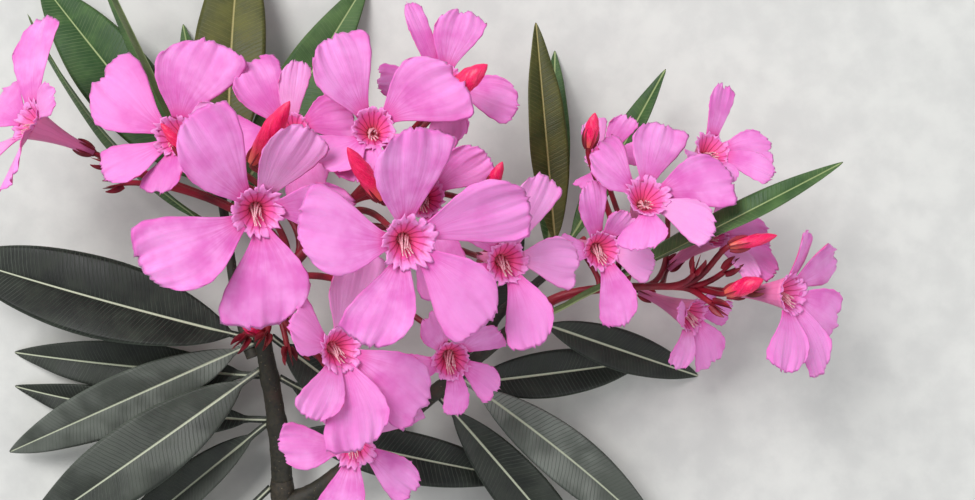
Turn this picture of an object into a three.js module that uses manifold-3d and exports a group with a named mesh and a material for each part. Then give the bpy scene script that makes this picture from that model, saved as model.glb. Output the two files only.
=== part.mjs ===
// A flowering oleander branch, cut from its shrub and laid flat on level ground.
// Millimetres, +Z up. The cut end of the main stem is the origin and faces -Y, and the branch grows
// away from it along +Y. It carries two flower clusters, whorls of long leaves and two young shoots.
import * as THREE from 'three';
import { mergeVertices } from 'three/addons/utils/BufferGeometryUtils.js';
import Module from 'manifold-3d';

const wasm = await Module();
wasm.setup();

// Driving dimensions
const GAP = 0.3;            // clear space between a piece and what carries it
const WELD = 0.03;          // the shortest edge, and the flattest face, that joining two solids may leave
const STEM_RADIUS = 4;      // main stem, at the cut
const GROUND = -STEM_RADIUS;
const STEM_SIDES = 8;
const STEM_STEPS = 7;
const PEDICEL_RADIUS = 0.8;
const BUD_STALK_RADIUS = 1;

const THROAT = {
  mouth: 4.8,               // radius where the petals leave the flower's throat
  wall: 0.8,
  lip: 0.5,                 // height of the mouth's rim above the petals' foot
  depth: 8,
  tube: 20,                 // from the mouth back to the foot of the calyx
  tubeRadius: 1.5,
  calyxFoot: 1.4,
  calyxRadius: 2.8,
  calyxHeight: 4.5,
  sides: 7,
};
const PETAL = {
  thickness: 0.7,
  claw: 4.4,                // width where it leaves the mouth
  steps: [0, 0.4, 0.75, 1],
  columns: [-1, -0.4, 0.4, 1],
  widest: 0.66,             // share of its length
  swell: 1.15,
  taper: 0.3,
  cornerRound: 0.1,         // the leading side keeps an angular corner
  roundRound: 0.38,         // the other side is rounded off
  roundPower: 2.4,
  skew: 0.14,               // sideways lean of the tip, as a share of the width
  cup: 0.12,
  turn: 12,                 // degrees, like a propeller blade
};
const LEAF = {
  steps: 8,
  petioleWidth: 2.2,
  petioleShare: 0.06,       // of the whole length
  slenderness: 95,          // a leaf's length over its thickness at the midrib
  droop: 10,
  fold: 15,
};
// A closed bud as shares of its length and of its widest radius.
const BUD_PROFILE = [[-0.04, 0.4], [0.3, 0.95], [0.6, 1], [0.85, 0.5]];

const finish = (color, roughness) => new THREE.MeshStandardMaterial({ color, roughness, metalness: 0 });
const BARK = finish(0x6f6a4c, 0.75);
const GREEN_STEM = finish(0x6d7a45, 0.6);
const RED_STALK = finish(0x8c2a33, 0.5);
const PETAL_PINK = finish(0xe07ec4, 0.6);
const DARK_LEAF = finish(0x3c4a3a, 0.5);
const YOUNG_LEAF = finish(0x6b7b45, 0.5);

const branch = new THREE.Group();
const vec = (x, y, z) => new THREE.Vector3(x, y, z);
const rad = THREE.MathUtils.degToRad;
const mix = THREE.MathUtils.lerp;
const up = vec(0, 0, 1);

function addPart(name, geometry, material) {
  const mesh = new THREE.Mesh(geometry, material);
  mesh.name = name;
  branch.add(mesh);
}

// The unit vector at a compass turn from +X towards +Y, raised above the level.
const heading = (turn, rise) => vec(
  Math.cos(rad(rise)) * Math.cos(rad(turn)),
  Math.cos(rad(rise)) * Math.sin(rad(turn)),
  Math.sin(rad(rise)),
);

// Closed solids from rows of points

// Closes the end of a skin with a strip that zigzags across the ring, from its first point over.
function cap(ring) {
  const faces = [];
  let [near, far] = [0, ring.length - 1];
  while (far - near > 1) {
    faces.push([ring[near], ring[near + 1], ring[far]]);
    near += 1;
    if (far - near > 1) faces.push([ring[near], ring[far - 1], ring[far]]);
    far -= 1;
  }
  return faces;
}

// Skins a row of closed rings into one solid. A ring may be a single point. The second half of a
// ring is split along the other diagonals, so that the two sides of a thin sheet fold alike.
function skin(rings) {
  const points = [];
  const faces = [];
  const starts = rings.map((ring) => points.push(...ring) - ring.length);
  const corner = (row, k) => starts[row] + (rings[row].length === 1 ? 0 : k);
  for (let row = 1; row < rings.length; row += 1) {
    const sides = Math.max(rings[row - 1].length, rings[row].length);
    for (let k = 0; k < sides; k += 1) {
      const next = (k + 1) % sides;
      const [a, b] = [corner(row - 1, k), corner(row - 1, next)];
      const [c, d] = [corner(row, next), corner(row, k)];
      faces.push(...(k < sides / 2 ? [[a, b, c], [a, c, d]] : [[a, b, d], [b, c, d]]));
    }
  }
  const ends = [0, rings.length - 1].map((row) => rings[row].map((_, k) => corner(row, k)));
  faces.push(...cap(ends[0]).map(([a, b, c]) => [a, c, b]), ...cap(ends[1]));
  const whole = faces.filter((face) => new Set(face).size === 3);
  const geometry = new THREE.BufferGeometry();
  geometry.setAttribute('position', new THREE.Float32BufferAttribute(points.flatMap((p) => p.toArray()), 3));
  geometry.setIndex(whole.flat());
  return geometry;
}

function toSolid(geometry) {
  const bare = geometry.clone();
  bare.deleteAttribute('normal');
  bare.deleteAttribute('uv');
  const merged = mergeVertices(bare);
  return new wasm.Manifold(new wasm.Mesh({
    numProp: 3,
    vertProperties: new Float32Array(merged.getAttribute('position').array),
    triVerts: new Uint32Array(merged.getIndex().array),
  }));
}

// Closes the first edge shorter than WELD, unless that would pinch the skin: its two ends have only
// the apexes of its two faces as common neighbours.
function closeShortEdge(points, faces) {
  const near = points.map(() => new Set());
  const sides = faces.flatMap(([a, b, c]) => [[a, b], [b, c], [c, a]]);
  for (const [a, b] of sides) {
    near[a].add(b);
    near[b].add(a);
  }
  const short = sides.find(([a, b]) => points[a].distanceTo(points[b]) < WELD
    && [...near[a]].filter((c) => near[b].has(c)).length === 2);
  if (!short) return faces;
  const [kept, gone] = short;
  const moved = faces.map((face) => face.map((corner) => (corner === gone ? kept : corner)));
  return closeShortEdge(points, moved.filter((face) => new Set(face).size === 3));
}

// A face flatter than WELD shares out its ground with the neighbour on its longest side: the edge
// between the two is turned the other way. Done in a few passes, as one turn can free the next.
function turnSlivers(points, faces) {
  const passes = 6;
  for (let pass = 0; pass < passes; pass += 1) {
    const owner = new Map();
    faces.forEach((face, n) => face.forEach((a, k) => owner.set(`${a},${face[(k + 1) % 3]}`, n)));
    const turned = new Set();
    for (let n = 0; n < faces.length; n += 1) {
      if (turned.has(n)) continue;
      const spans = faces[n].map((a, k) => points[a].distanceTo(points[faces[n][(k + 1) % 3]]));
      const longest = Math.max(...spans);
      const [a, b, c] = [0, 1, 2].map((k) => faces[n][(spans.indexOf(longest) + k) % 3]);
      const area = points[b].clone().sub(points[a]).cross(points[c].clone().sub(points[a])).length();
      const m = owner.get(`${b},${a}`);
      const d = faces[m].find((corner) => corner !== a && corner !== b);
      const taken = turned.has(m) || c === d || owner.has(`${c},${d}`) || owner.has(`${d},${c}`);
      if (area / longest > WELD || taken) continue;
      faces[n] = [a, d, c];
      faces[m] = [d, b, c];
      turned.add(n).add(m);
    }
  }
  return faces;
}

const triples = (list) => Array.from(
  { length: list.length / 3 },
  (_, k) => [...list.slice(3 * k, 3 * k + 3)],
);

function fuse(geometries) {
  const { vertProperties, triVerts } = geometries.map(toSolid).reduce((sum, next) => sum.add(next)).getMesh();
  const points = triples(vertProperties).map((p) => vec(...p));
  const geometry = new THREE.BufferGeometry();
  geometry.setAttribute('position', new THREE.Float32BufferAttribute(points.flatMap((p) => p.toArray()), 3));
  geometry.setIndex(turnSlivers(points, closeShortEdge(points, triples(triVerts))).flat());
  return geometry;
}

// Stems: tapering limbs along cubic curves

// A limb leaves its start, and comes to its end, along the two given vectors.
function route(start, leave, arrive, end) {
  return new THREE.CubicBezierCurve3(start, start.clone().add(leave), end.clone().sub(arrive), end);
}

function limb(path, [startRadius, endRadius], sides = STEM_SIDES, steps = STEM_STEPS) {
  const frames = path.computeFrenetFrames(steps, false);
  const rings = frames.tangents.map((_, i) => {
    const radius = mix(startRadius, endRadius, i / steps);
    const centre = path.getPointAt(i / steps);
    return Array.from({ length: sides }, (__, k) => {
      const angle = (2 * Math.PI * k) / sides;
      return centre.clone()
        .addScaledVector(frames.normals[i], radius * Math.cos(angle))
        .addScaledVector(frames.binormals[i], radius * Math.sin(angle));
    });
  });
  return skin(rings);
}

const stems = {
  main: {
    path: route(vec(0, 0, 0), vec(0, 18, 0), vec(0, 18, 4), vec(3, 52, 8)),
    radii: [STEM_RADIUS, 3.3],
  },
  left: {
    path: route(vec(3, 52 + GAP, 8), vec(0, 14, 3), vec(-2, 15, 6), vec(-1, 98, 22)),
    radii: [3.2, 2.4],
  },
  right: {
    path: route(vec(7.6, 45, 7), vec(16, 8, 1), vec(28, 20, 8), vec(84, 107, 30)),
    radii: [2.6, 1.9],
  },
  youngLeft: {
    path: route(vec(-4.6, 93, 18.5), vec(-6, 14, -1), vec(-3, 14, 1), vec(-14, 142, 19)),
    radii: [1.8, 1.2],
  },
  youngRight: {
    path: route(vec(66, 98, 24), vec(3, 8, -3), vec(6, 10, -2), vec(90, 122, 15)),
    radii: [1.6, 1.1],
  },
};

addPart('main_stem', limb(stems.main.path, stems.main.radii), BARK);
addPart('left_shoot', limb(stems.left.path, stems.left.radii), GREEN_STEM);
addPart('right_shoot', limb(stems.right.path, stems.right.radii), GREEN_STEM);
addPart('young_shoot_left', limb(stems.youngLeft.path, stems.youngLeft.radii), GREEN_STEM);
addPart('young_shoot_right', limb(stems.youngRight.path, stems.youngRight.radii), GREEN_STEM);

// Leaves: a folded blade with a short stalk, arching from the stem

// Half the width of the blade, 0 to 1, at a share of its length.
const blade = (share) => Math.sin(Math.PI * THREE.MathUtils.clamp(share, 0, 1) ** 0.85) ** 0.8;

// How far an arching leaf has run ahead and dropped at a share of its length.
function arch(length, droop, share) {
  const bend = rad(droop);
  return {
    run: (length * Math.sin(bend * share)) / bend,
    drop: (length * (1 - Math.cos(bend * share))) / bend,
  };
}

// The rise that brings the tip of an arching leaf down to the ground.
function restingRise(height, { length, droop = LEAF.droop }) {
  const { run, drop } = arch(length, droop, 1);
  const slope = Math.asin((GROUND - height) / Math.hypot(run, drop)) + Math.atan2(drop, run);
  return THREE.MathUtils.radToDeg(slope);
}

// roll tips the blade to one side, twist adds to that along it, and sway bends it sideways.
function leafSolid(root, size) {
  const { turn, rise, length, width } = size;
  const { droop = LEAF.droop, fold = LEAF.fold, roll = 0, twist = 0, sway = 0 } = size;
  const ahead = heading(turn, rise);
  const right = ahead.clone().cross(up).normalize();
  const above = right.clone().cross(ahead);
  const rings = [];
  for (let i = 0; i <= LEAF.steps; i += 1) {
    const share = i / LEAF.steps;
    const { run, drop } = arch(length, droop, share);
    const rib = root.clone().addScaledVector(ahead, run).addScaledVector(above, -drop)
      .addScaledVector(right, sway * length * share * share);
    if (i === LEAF.steps) {
      rings.push([rib]);
      break;
    }
    const bent = rad(droop) * share;
    const lean = rad(roll + twist * share);
    const normal = above.clone().multiplyScalar(Math.cos(bent)).addScaledVector(ahead, Math.sin(bent));
    const side = right.clone().multiplyScalar(Math.cos(lean)).addScaledVector(normal, Math.sin(lean));
    const top = normal.clone().multiplyScalar(Math.cos(lean)).addScaledVector(right, -Math.sin(lean));
    const bladeShare = (share - LEAF.petioleShare) / (1 - LEAF.petioleShare);
    const petiole = i < 2 ? LEAF.petioleWidth / 2 : 0;
    const reach = Math.max((blade(bladeShare) * width) / 2, petiole);
    const thick = i === 0 ? LEAF.petioleWidth / 3 : length / LEAF.slenderness / 2;
    const out = side.multiplyScalar(reach * Math.cos(rad(fold)));
    const lift = top.clone().multiplyScalar(reach * Math.sin(rad(fold)));
    rings.push([
      rib.clone().add(out).add(lift),
      rib.clone().addScaledVector(top, -thick),
      rib.clone().sub(out).add(lift),
      rib.clone().addScaledVector(top, thick),
    ]);
  }
  return skin(rings);
}

// A leaf's stalk starts just clear of the bark, on the side of the stem that it points to.
function leafRoot(stem, place, ahead) {
  const centre = stem.path.getPointAt(place);
  const along = stem.path.getTangentAt(place);
  const slant = ahead.dot(along);
  const outward = ahead.clone().addScaledVector(along, -slant).normalize();
  const clear = mix(...stem.radii, place) + GAP + (LEAF.petioleWidth / 2) * Math.abs(slant);
  return centre.addScaledVector(outward, clear);
}

// A leaf with no rise of its own rests its tip on the ground. Its root moves a little with the
// rise, so the two are settled together in a few passes.
function addLeaf(name, stem, place, size, material) {
  const passes = size.rise === undefined ? 4 : 0;
  let rise = size.rise ?? 0;
  let root = leafRoot(stem, place, heading(size.turn, rise));
  for (let pass = 0; pass < passes; pass += 1) {
    rise = restingRise(root.z, size);
    root = leafRoot(stem, place, heading(size.turn, rise));
  }
  addPart(name, leafSolid(root, { ...size, rise }), material);
}

// Each leaf has its place along its stem, 0 to 1, and its own heading and size.
const leaves = [
  // Left shoot, from the flower cluster back to the fork
  [stems.left, 0.96, { turn: 165, rise: 12, length: 98, width: 25, droop: 34, roll: -18 }],
  [stems.left, 0.93, { turn: 204, rise: -2, length: 90, width: 18, droop: 22, roll: 12 }],
  [stems.left, 0.94, { turn: -40, rise: -16, length: 54, width: 16, droop: 14 }],
  [stems.left, 0.74, { turn: 216, rise: 6, length: 92, width: 22, droop: 26, sway: 0.02 }],
  [stems.left, 0.66, { turn: -32, length: 48, width: 11, droop: 16, roll: 10, fold: 20 }],
  [stems.left, 0.7, { turn: 178, length: 84, width: 16, droop: 12, sway: 0.03 }],
  [stems.left, 0.36, { turn: 219, length: 74, width: 14, droop: 10, roll: -14, fold: 20 }],
  [stems.left, 0.4, { turn: 180, length: 84, width: 15, droop: 10, roll: 6, sway: 0.1 }],
  [stems.left, 0.34, { turn: -12, rise: 13, length: 76, width: 16, droop: 40, sway: 0.02 }],
  // Main stem
  [stems.main, 0.94, { turn: 224, rise: 5, length: 86, width: 17, droop: 14 }],
  [stems.main, 0.76, { turn: -30, length: 80, width: 15, droop: 8 }],
  [stems.main, 0.6, { turn: 228, length: 88, width: 18, droop: 12 }],
  [stems.main, 0.56, { turn: -54, length: 84, width: 17, droop: 12 }],
  [stems.main, 0.5, { turn: 262, length: 66, width: 14, droop: 16 }],
  // Right shoot
  [stems.right, 0.62, { turn: 5, length: 64, width: 15, droop: 14 }],
  [stems.right, 0.65, { turn: -35, length: 88, width: 17, droop: 20, sway: 0.1 }],
  [stems.right, 0.56, { turn: -49, length: 86, width: 17, droop: 20, sway: 0.04 }],
  [stems.right, 0.64, { turn: 62, rise: -20, length: 50, width: 12, droop: 6 }],
  [stems.right, 0.97, {
    turn: 28, rise: 22, length: 94, width: 11, droop: 20, roll: 118, fold: 16, twist: -108,
  }],
  [stems.right, 0.93, { turn: -20, length: 64, width: 13, droop: 10 }],
];
leaves.forEach(([stem, place, size], k) => addLeaf(`leaf_${k + 1}`, stem, place, size, DARK_LEAF));

const youngLeaves = [
  [stems.youngLeft, 0.72, { turn: 149, rise: 6, length: 82, width: 10, roll: 62, fold: 10, sway: 0.32 }],
  [stems.youngLeft, 0.94, { turn: 131, length: 94, width: 23, droop: 18, roll: -8 }],
  [stems.youngLeft, 0.96, { turn: 116, rise: 8, length: 78, width: 12, droop: 14, roll: 68, fold: 30 }],
  [stems.youngLeft, 0.99, { turn: 90, length: 84, width: 22, droop: 30, fold: 10 }],
  [stems.youngLeft, 0.9, { turn: 106, rise: -16, length: 62, width: 11, droop: 6, roll: 20, fold: 18 }],
  [stems.youngLeft, 0.84, { turn: 62, length: 86, width: 17, droop: 12, fold: 12 }],
  [stems.youngRight, 0.9, { turn: 95, rise: 6, length: 70, width: 13, roll: -16, fold: 22 }],
  [stems.youngRight, 0.8, { turn: 86, length: 70, width: 11, droop: 8, sway: -0.02 }],
  [stems.youngRight, 0.98, { turn: 61, rise: 4, length: 62, width: 10, droop: 8, roll: 30, fold: 18 }],
];
youngLeaves.forEach(([stem, place, size], k) => {
  addLeaf(`young_leaf_${k + 1}`, stem, place, size, YOUNG_LEAF);
});

// Blooms: five petals round a throat, on a tube that ends in a calyx

// A bloom faces along its axis: up, tilted over towards a compass turn.
function bloomFrame(bloom) {
  const [turn, tilt] = bloom.faces;
  const axis = heading(turn, 90 - tilt);
  const east = vec(1, 0, 0).addScaledVector(axis, -axis.x).normalize();
  const north = axis.clone().cross(east);
  return { mouth: vec(...bloom.at), axis, east, north };
}

// A petal lifts off the mouth at the first of its two lifts and levels out to the second.
function petalSolid(frame, lifts, angle, length, width) {
  const [lift, rest] = lifts.map(rad);
  const bend = rest - lift;
  const turn = rad(PETAL.turn);
  const out = frame.east.clone().multiplyScalar(Math.cos(rad(angle)))
    .addScaledVector(frame.north, Math.sin(rad(angle)));
  const side = frame.axis.clone().cross(out);
  const rings = PETAL.steps.map((share) => {
    const open = Math.min(share / PETAL.widest, 1);
    const beyond = Math.max((share - PETAL.widest) / (1 - PETAL.widest), 0);
    const swell = Math.sin((Math.PI / 2) * open) ** PETAL.swell;
    const reach = mix(PETAL.claw, width * (1 - PETAL.taper * beyond ** 2), swell) / 2;
    const row = PETAL.columns.map((across) => {
      const rounding = across < 0 ? PETAL.cornerRound : PETAL.roundRound;
      const pitch = lift + bend * share * (1 - rounding * Math.abs(across) ** PETAL.roundPower);
      const run = (length * (Math.sin(pitch) - Math.sin(lift))) / bend;
      const rise = (length * (Math.cos(lift) - Math.cos(pitch))) / bend;
      const lateral = across * reach - PETAL.skew * width * share ** 2;
      const cup = PETAL.cup * width * across ** 2 * share;
      const top = frame.axis.clone().multiplyScalar(Math.cos(pitch)).addScaledVector(out, -Math.sin(pitch));
      const middle = frame.mouth.clone()
        .addScaledVector(out, THROAT.mouth - THROAT.wall / 2 + run)
        .addScaledVector(frame.axis, rise)
        .addScaledVector(side, lateral * Math.cos(turn) - cup * Math.sin(turn))
        .addScaledVector(top, lateral * Math.sin(turn) + cup * Math.cos(turn));
      return { middle, top };
    });
    const inner = row.slice(1, -1);
    const face = (offset) => inner.map(({ middle, top }) => middle.clone().addScaledVector(top, offset));
    const lower = face(-PETAL.thickness / 2);
    const upper = face(PETAL.thickness / 2);
    return [row[0].middle, ...lower, row[row.length - 1].middle, ...upper.reverse()];
  });
  return skin(rings);
}

// The tube, the calyx cup at its foot and the open throat, turned as one profile.
function throatSolid(frame, tube) {
  const profile = [
    [0, -tube],
    [THROAT.calyxFoot, -tube],
    [THROAT.calyxRadius, THROAT.calyxHeight - tube],
    [THROAT.tubeRadius, THROAT.calyxHeight - tube],
    [THROAT.mouth, THROAT.lip],
    [THROAT.mouth - THROAT.wall, THROAT.lip],
    [0, -THROAT.depth],
  ].map(([radius, height]) => new THREE.Vector2(radius, height));
  const place = new THREE.Matrix4().makeBasis(frame.east, frame.north, frame.axis).setPosition(frame.mouth);
  return new THREE.LatheGeometry(profile, THROAT.sides).rotateX(Math.PI / 2).applyMatrix4(place);
}

function addBloom(name, bloom) {
  const frame = bloomFrame(bloom);
  const { spread, reach, breadth, lifts, tube = THROAT.tube } = bloom;
  const petals = spread.map((angle, k) => petalSolid(frame, lifts, angle, reach[k], breadth[k]));
  addPart(name, fuse([throatSolid(frame, tube), ...petals]), PETAL_PINK);
}

// Each bloom has its mouth's place, what it faces, where its stalk leaves the cluster's stalk, and
// the angle, length and width of each petal.
const leftBlooms = [
  {
    at: [7, 132, 72], faces: [-40, 20], lifts: [24, -6], fork: 0.3,
    spread: [128, 65, 5, -80, -150], reach: [26, 21, 21, 26, 28], breadth: [21, 17, 18, 26, 23],
  },
  {
    at: [46, 124, 84], faces: [-35, 18], lifts: [20, -4], fork: 0.62,
    spread: [94, 24, -40, -107, 176], reach: [24, 28, 25, 23, 23], breadth: [22, 20, 21, 18, 23],
  },
  {
    at: [27, 96, 62], faces: [0, 34], lifts: [26, -2], fork: 0.08,
    spread: [89, -28, -75, -113, 160], reach: [22, 25, 23, 16, 13], breadth: [19, 20, 20, 13, 15],
  },
  {
    at: [29, 68, 46], faces: [-70, 14], lifts: [20, 0], fork: 0.04,
    spread: [182, -98, -30, 50, 110], reach: [16, 20, 17, 17, 18], breadth: [14, 15, 15, 16, 16],
  },
  {
    at: [56, 92, 50], faces: [-50, 15], lifts: [25, 5], fork: 0.2,
    spread: [120, 42, -28, -80, 192], reach: [11, 11, 11, 11, 8], breadth: [11, 12, 11, 8, 8],
  },
  {
    at: [71, 119, 68], faces: [-10, 20], lifts: [22, 0], fork: 0.5,
    spread: [6, -66, 74, 130, 205], reach: [15, 19, 20, 17, 17], breadth: [16, 15, 14, 16, 16],
  },
  {
    at: [36, 154, 64], faces: [60, 12], lifts: [24, 0], fork: 0.97,
    spread: [124, 40, 226, -40, -95], reach: [22, 22, 13, 16, 11], breadth: [20, 23, 16, 16, 14],
  },
  {
    at: [13, 154, 56], faces: [100, 15], lifts: [20, 0], fork: 0.6,
    spread: [130, 90, 20, -60, 200], reach: [18, 15, 13, 16, 11], breadth: [17, 9, 15, 16, 16],
  },
  {
    at: [-19, 153, 52], faces: [150, 14], lifts: [20, 0], fork: 0.4,
    spread: [150, 74, 214, -95, 20], reach: [23, 23, 18, 12, 12], breadth: [23, 25, 14, 14, 14],
  },
  {
    at: [-60, 157, 48], faces: [152, 50], lifts: [25, 0], fork: 0.26,
    spread: [83, 145, 215, -72, 10], reach: [27, 18, 18, 19, 12], breadth: [17, 16, 16, 16, 12],
  },
  {
    at: [54, 168, 46], faces: [60, 12], lifts: [20, 0], fork: 0.9,
    spread: [118, 82, -12, -80, 190], reach: [20, 17, 17, 14, 14], breadth: [7, 15, 13, 13, 13],
  },
  {
    at: [49, 136, 55], faces: [0, 5], lifts: [15, 0], fork: 0.8,
    spread: [42, 115, -72, 84, 192], reach: [16, 12, 24, 14, 4], breadth: [14, 12, 16, 12, 8],
  },
];
const rightBlooms = [
  {
    at: [109, 136, 54], faces: [70, 24], lifts: [22, 0], fork: 0.45,
    spread: [85, 22, -25, -92, 148], reach: [18, 20, 16, 12, 15], breadth: [17, 17, 12, 14, 19],
  },
  {
    at: [129, 150, 42], faces: [50, 35], lifts: [35, 10], fork: 0.6,
    spread: [88, 12, -20, 225, 290], reach: [16, 13, 14, 7, 8], breadth: [9, 12, 9, 8, 8],
  },
  {
    at: [97, 122, 52], faces: [-20, 15], lifts: [22, 0], fork: 0.3,
    spread: [109, 62, -13, -70, 180], reach: [15, 8, 11, 17, 8], breadth: [10, 9, 11, 12, 8],
  },
  {
    at: [99, 148, 37], faces: [110, 30], lifts: [30, 10], fork: 0.4, tube: 12,
    spread: [110, 60, 250, 300, 0], reach: [8, 10, 8, 8, 8], breadth: [9, 8, 9, 8, 8],
  },
  {
    at: [149, 110, 48], faces: [0, 46], lifts: [25, 0], fork: 0.95,
    spread: [78, 36, -18, -60, -104], reach: [14, 18, 18, 21, 18], breadth: [10, 15, 16, 12, 16],
  },
  {
    at: [126, 103, 27], faces: [-25, 50], lifts: [25, 0], fork: 0.55,
    spread: [-8, -62, -120, 38, 158], reach: [12, 16, 12, 6, 6], breadth: [10, 13, 10, 8, 8],
  },
  {
    at: [129, 127, 41], faces: [45, 45], lifts: [25, 0], fork: 0.7,
    spread: [62, 18, -20, -44, 130], reach: [12, 15, 17, 14, 10], breadth: [12, 12, 11, 8, 9],
  },
];
leftBlooms.forEach((bloom, k) => addBloom(`left_bloom_${k + 1}`, bloom));
rightBlooms.forEach((bloom, k) => addBloom(`right_bloom_${k + 1}`, bloom));

// Cluster stalks: a red stalk that forks to every flower and bud

const leftStalk = {
  path: route(vec(-1.1, 98.3, 22.1), vec(-1, 12, 5), vec(8, 10, 2), vec(33, 143, 33)),
  radii: [2.1, 1.3],
  forkRadius: 1.1,
};
const rightStalk = {
  path: route(vec(84.3, 107.2, 30.1), vec(8, 5, 3), vec(10, -1, 0), vec(127, 111, 33)),
  radii: [1.8, 1.0],
  forkRadius: 1.0,
};
const leftBuds = [
  { base: [4, 145, 63], tip: [15.5, 160, 73], radius: 2.8, fork: 0.7 },
  { base: [38.5, 135, 69], tip: [30.5, 148, 76], radius: 2.4, fork: 0.85 },
  { base: [-12, 146, 64], tip: [-19, 155, 67], radius: 1.6, fork: 0.45 },
  { base: [55, 163, 58], tip: [66, 171, 62], radius: 3, fork: 0.97 },
];
const rightBuds = [
  { base: [132, 123, 51], tip: [145, 126, 51], radius: 1.8, fork: 0.8 },
  { base: [132, 110, 46], tip: [141, 114, 52], radius: 2.5, fork: 0.9 },
];

// A side stalk leaves along the cluster's stalk and comes in along the axis of what it carries.
function sideStalk(stalk, fork, end, axis, { radius, arrive, steps }) {
  const start = stalk.path.getPointAt(fork);
  const span = start.distanceTo(end);
  const leave = stalk.path.getTangentAt(fork).multiplyScalar(span * 0.4);
  const path = route(start, leave, axis.clone().multiplyScalar(span * arrive), end);
  return limb(path, [radius, PEDICEL_RADIUS], 5, steps);
}

// A pedicel ends just clear of the flat foot of its bloom's calyx.
function pedicel(stalk, bloom) {
  const { mouth, axis } = bloomFrame(bloom);
  const end = mouth.addScaledVector(axis, -(bloom.tube ?? THROAT.tube) - GAP);
  return sideStalk(stalk, bloom.fork, end, axis, { radius: stalk.forkRadius, arrive: 0.4, steps: 4 });
}

function budSolids(stalk, bud) {
  const [base, tip] = [vec(...bud.base), vec(...bud.tip)];
  const length = base.distanceTo(tip);
  const axis = tip.clone().sub(base).normalize();
  const turn = new THREE.Quaternion().setFromUnitVectors(up, axis);
  const spindle = BUD_PROFILE.map(([share, width]) => Array.from({ length: 6 }, (_, k) => vec(
    bud.radius * width * Math.cos(rad(60 * k)),
    bud.radius * width * Math.sin(rad(60 * k)),
    share * length,
  ).applyQuaternion(turn).add(base)));
  const stem = sideStalk(stalk, bud.fork, base, axis, { radius: BUD_STALK_RADIUS, arrive: 0.15, steps: 5 });
  return [stem, skin([...spindle, [tip]])];
}

function addStalk(name, stalk, blooms, buds) {
  const pieces = [
    limb(stalk.path, stalk.radii, 6, 6),
    ...blooms.map((bloom) => pedicel(stalk, bloom)),
    ...buds.flatMap((bud) => budSolids(stalk, bud)),
  ];
  addPart(name, fuse(pieces), RED_STALK);
}

addStalk('left_cluster_stalk', leftStalk, leftBlooms, leftBuds);
addStalk('right_cluster_stalk', rightStalk, rightBlooms, rightBuds);

export default branch;
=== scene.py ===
# A cut flowering oleander branch, lying on pale ground and seen from straight above. Each section
# below makes one kind of piece: the stems, the leaves, the flower stalks, the buds and the blooms.
import math
from collections import namedtuple

import bpy
import numpy as np
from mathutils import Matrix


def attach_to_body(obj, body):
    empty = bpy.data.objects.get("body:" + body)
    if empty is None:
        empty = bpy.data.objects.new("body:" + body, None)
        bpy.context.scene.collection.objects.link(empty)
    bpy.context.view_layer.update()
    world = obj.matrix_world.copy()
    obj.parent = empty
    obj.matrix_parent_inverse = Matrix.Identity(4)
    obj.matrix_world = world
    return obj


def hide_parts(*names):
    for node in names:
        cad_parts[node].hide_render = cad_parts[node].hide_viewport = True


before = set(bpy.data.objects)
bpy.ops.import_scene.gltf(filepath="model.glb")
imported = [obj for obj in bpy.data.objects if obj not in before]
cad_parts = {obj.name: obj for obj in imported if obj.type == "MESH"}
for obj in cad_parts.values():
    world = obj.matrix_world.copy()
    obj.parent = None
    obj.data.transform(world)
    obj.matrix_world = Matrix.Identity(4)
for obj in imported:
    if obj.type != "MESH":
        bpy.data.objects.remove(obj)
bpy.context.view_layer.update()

# Viewpoint. The camera looks straight down at the laid branch from 0.4 m, with the branch's tip
# towards the top of the picture.
EYE = (0.066, 0.122, 0.400)
PICTURE_WIDTH = 975
FOCAL_PIXELS = 1280
SENSOR_WIDTH = 36
NEAREST = 0.01
eye_data = bpy.data.cameras.new("viewpoint")
eye_data.sensor_width = SENSOR_WIDTH
eye_data.lens = SENSOR_WIDTH * FOCAL_PIXELS / PICTURE_WIDTH
eye_data.clip_start = NEAREST
eye = bpy.data.objects.new("viewpoint", eye_data)
eye.location = EYE
bpy.context.scene.collection.objects.link(eye)
bpy.context.scene.camera = eye
bpy.context.scene.view_settings.view_transform = "Standard"

# Ground and light. The branch lies on a plain pale board of fine plaster, under a large soft lamp
# on the upper left, a weaker one opposite, and an even pale sky.
GROUND_Z = -0.004
GROUND_HALF = 2.0
BOARD_LIGHT = (214, 213, 208)
BOARD_DARK = (203, 202, 198)
BOARD_GRAIN = 90.0         # waves of the grain in a metre
SKY = (232, 238, 245)
SKY_STRENGTH = 0.5
LAMPS = {
    "key": {"place": (-0.55, 0.75, 1.15), "size": 0.7, "watts": 18.5},
    "fill": {"place": (0.95, -0.45, 0.9), "size": 1.1, "watts": 5.5},
}
LAMP_TARGET = (0.04, 0.12, 0.03)


def srgb(red, green, blue):
    """A screen colour, 0 to 255 each, as the linear colour that a shader takes."""
    share = np.array([red, green, blue]) / 255
    linear = np.where(share > 0.04045, ((share + 0.055) / 1.055) ** 2.4, share / 12.92)
    return (*(float(part) for part in linear), 1.0)


def wire(tree, kind, options=None, out=0, **inputs):
    """Adds a node and fills its inputs with values or with other nodes' outputs. An input is named
    with _ for a space, or i and its number. Returns the node's output."""
    node = tree.nodes.new(kind)
    for option, value in (options or {}).items():
        setattr(node, option, value)
    for title, value in inputs.items():
        if title[0] == "i" and title[1:].isdigit():
            socket = node.inputs[int(title[1:])]
        else:
            named = [each for each in node.inputs if each.name == title.replace("_", " ")]
            socket = next(each for each in named if each.enabled)
        if isinstance(value, bpy.types.NodeSocket):
            tree.links.new(value, socket)
        else:
            socket.default_value = value
    return node.outputs[out]


def maths(operation, *values):
    """One sum on numbers and outputs, in the tree of the first output among them."""
    tree = next(value for value in values if isinstance(value, bpy.types.NodeSocket)).id_data
    inputs = {f"i{k}": value for k, value in enumerate(values)}
    return wire(tree, "ShaderNodeMath", {"operation": operation}, **inputs)


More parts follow.
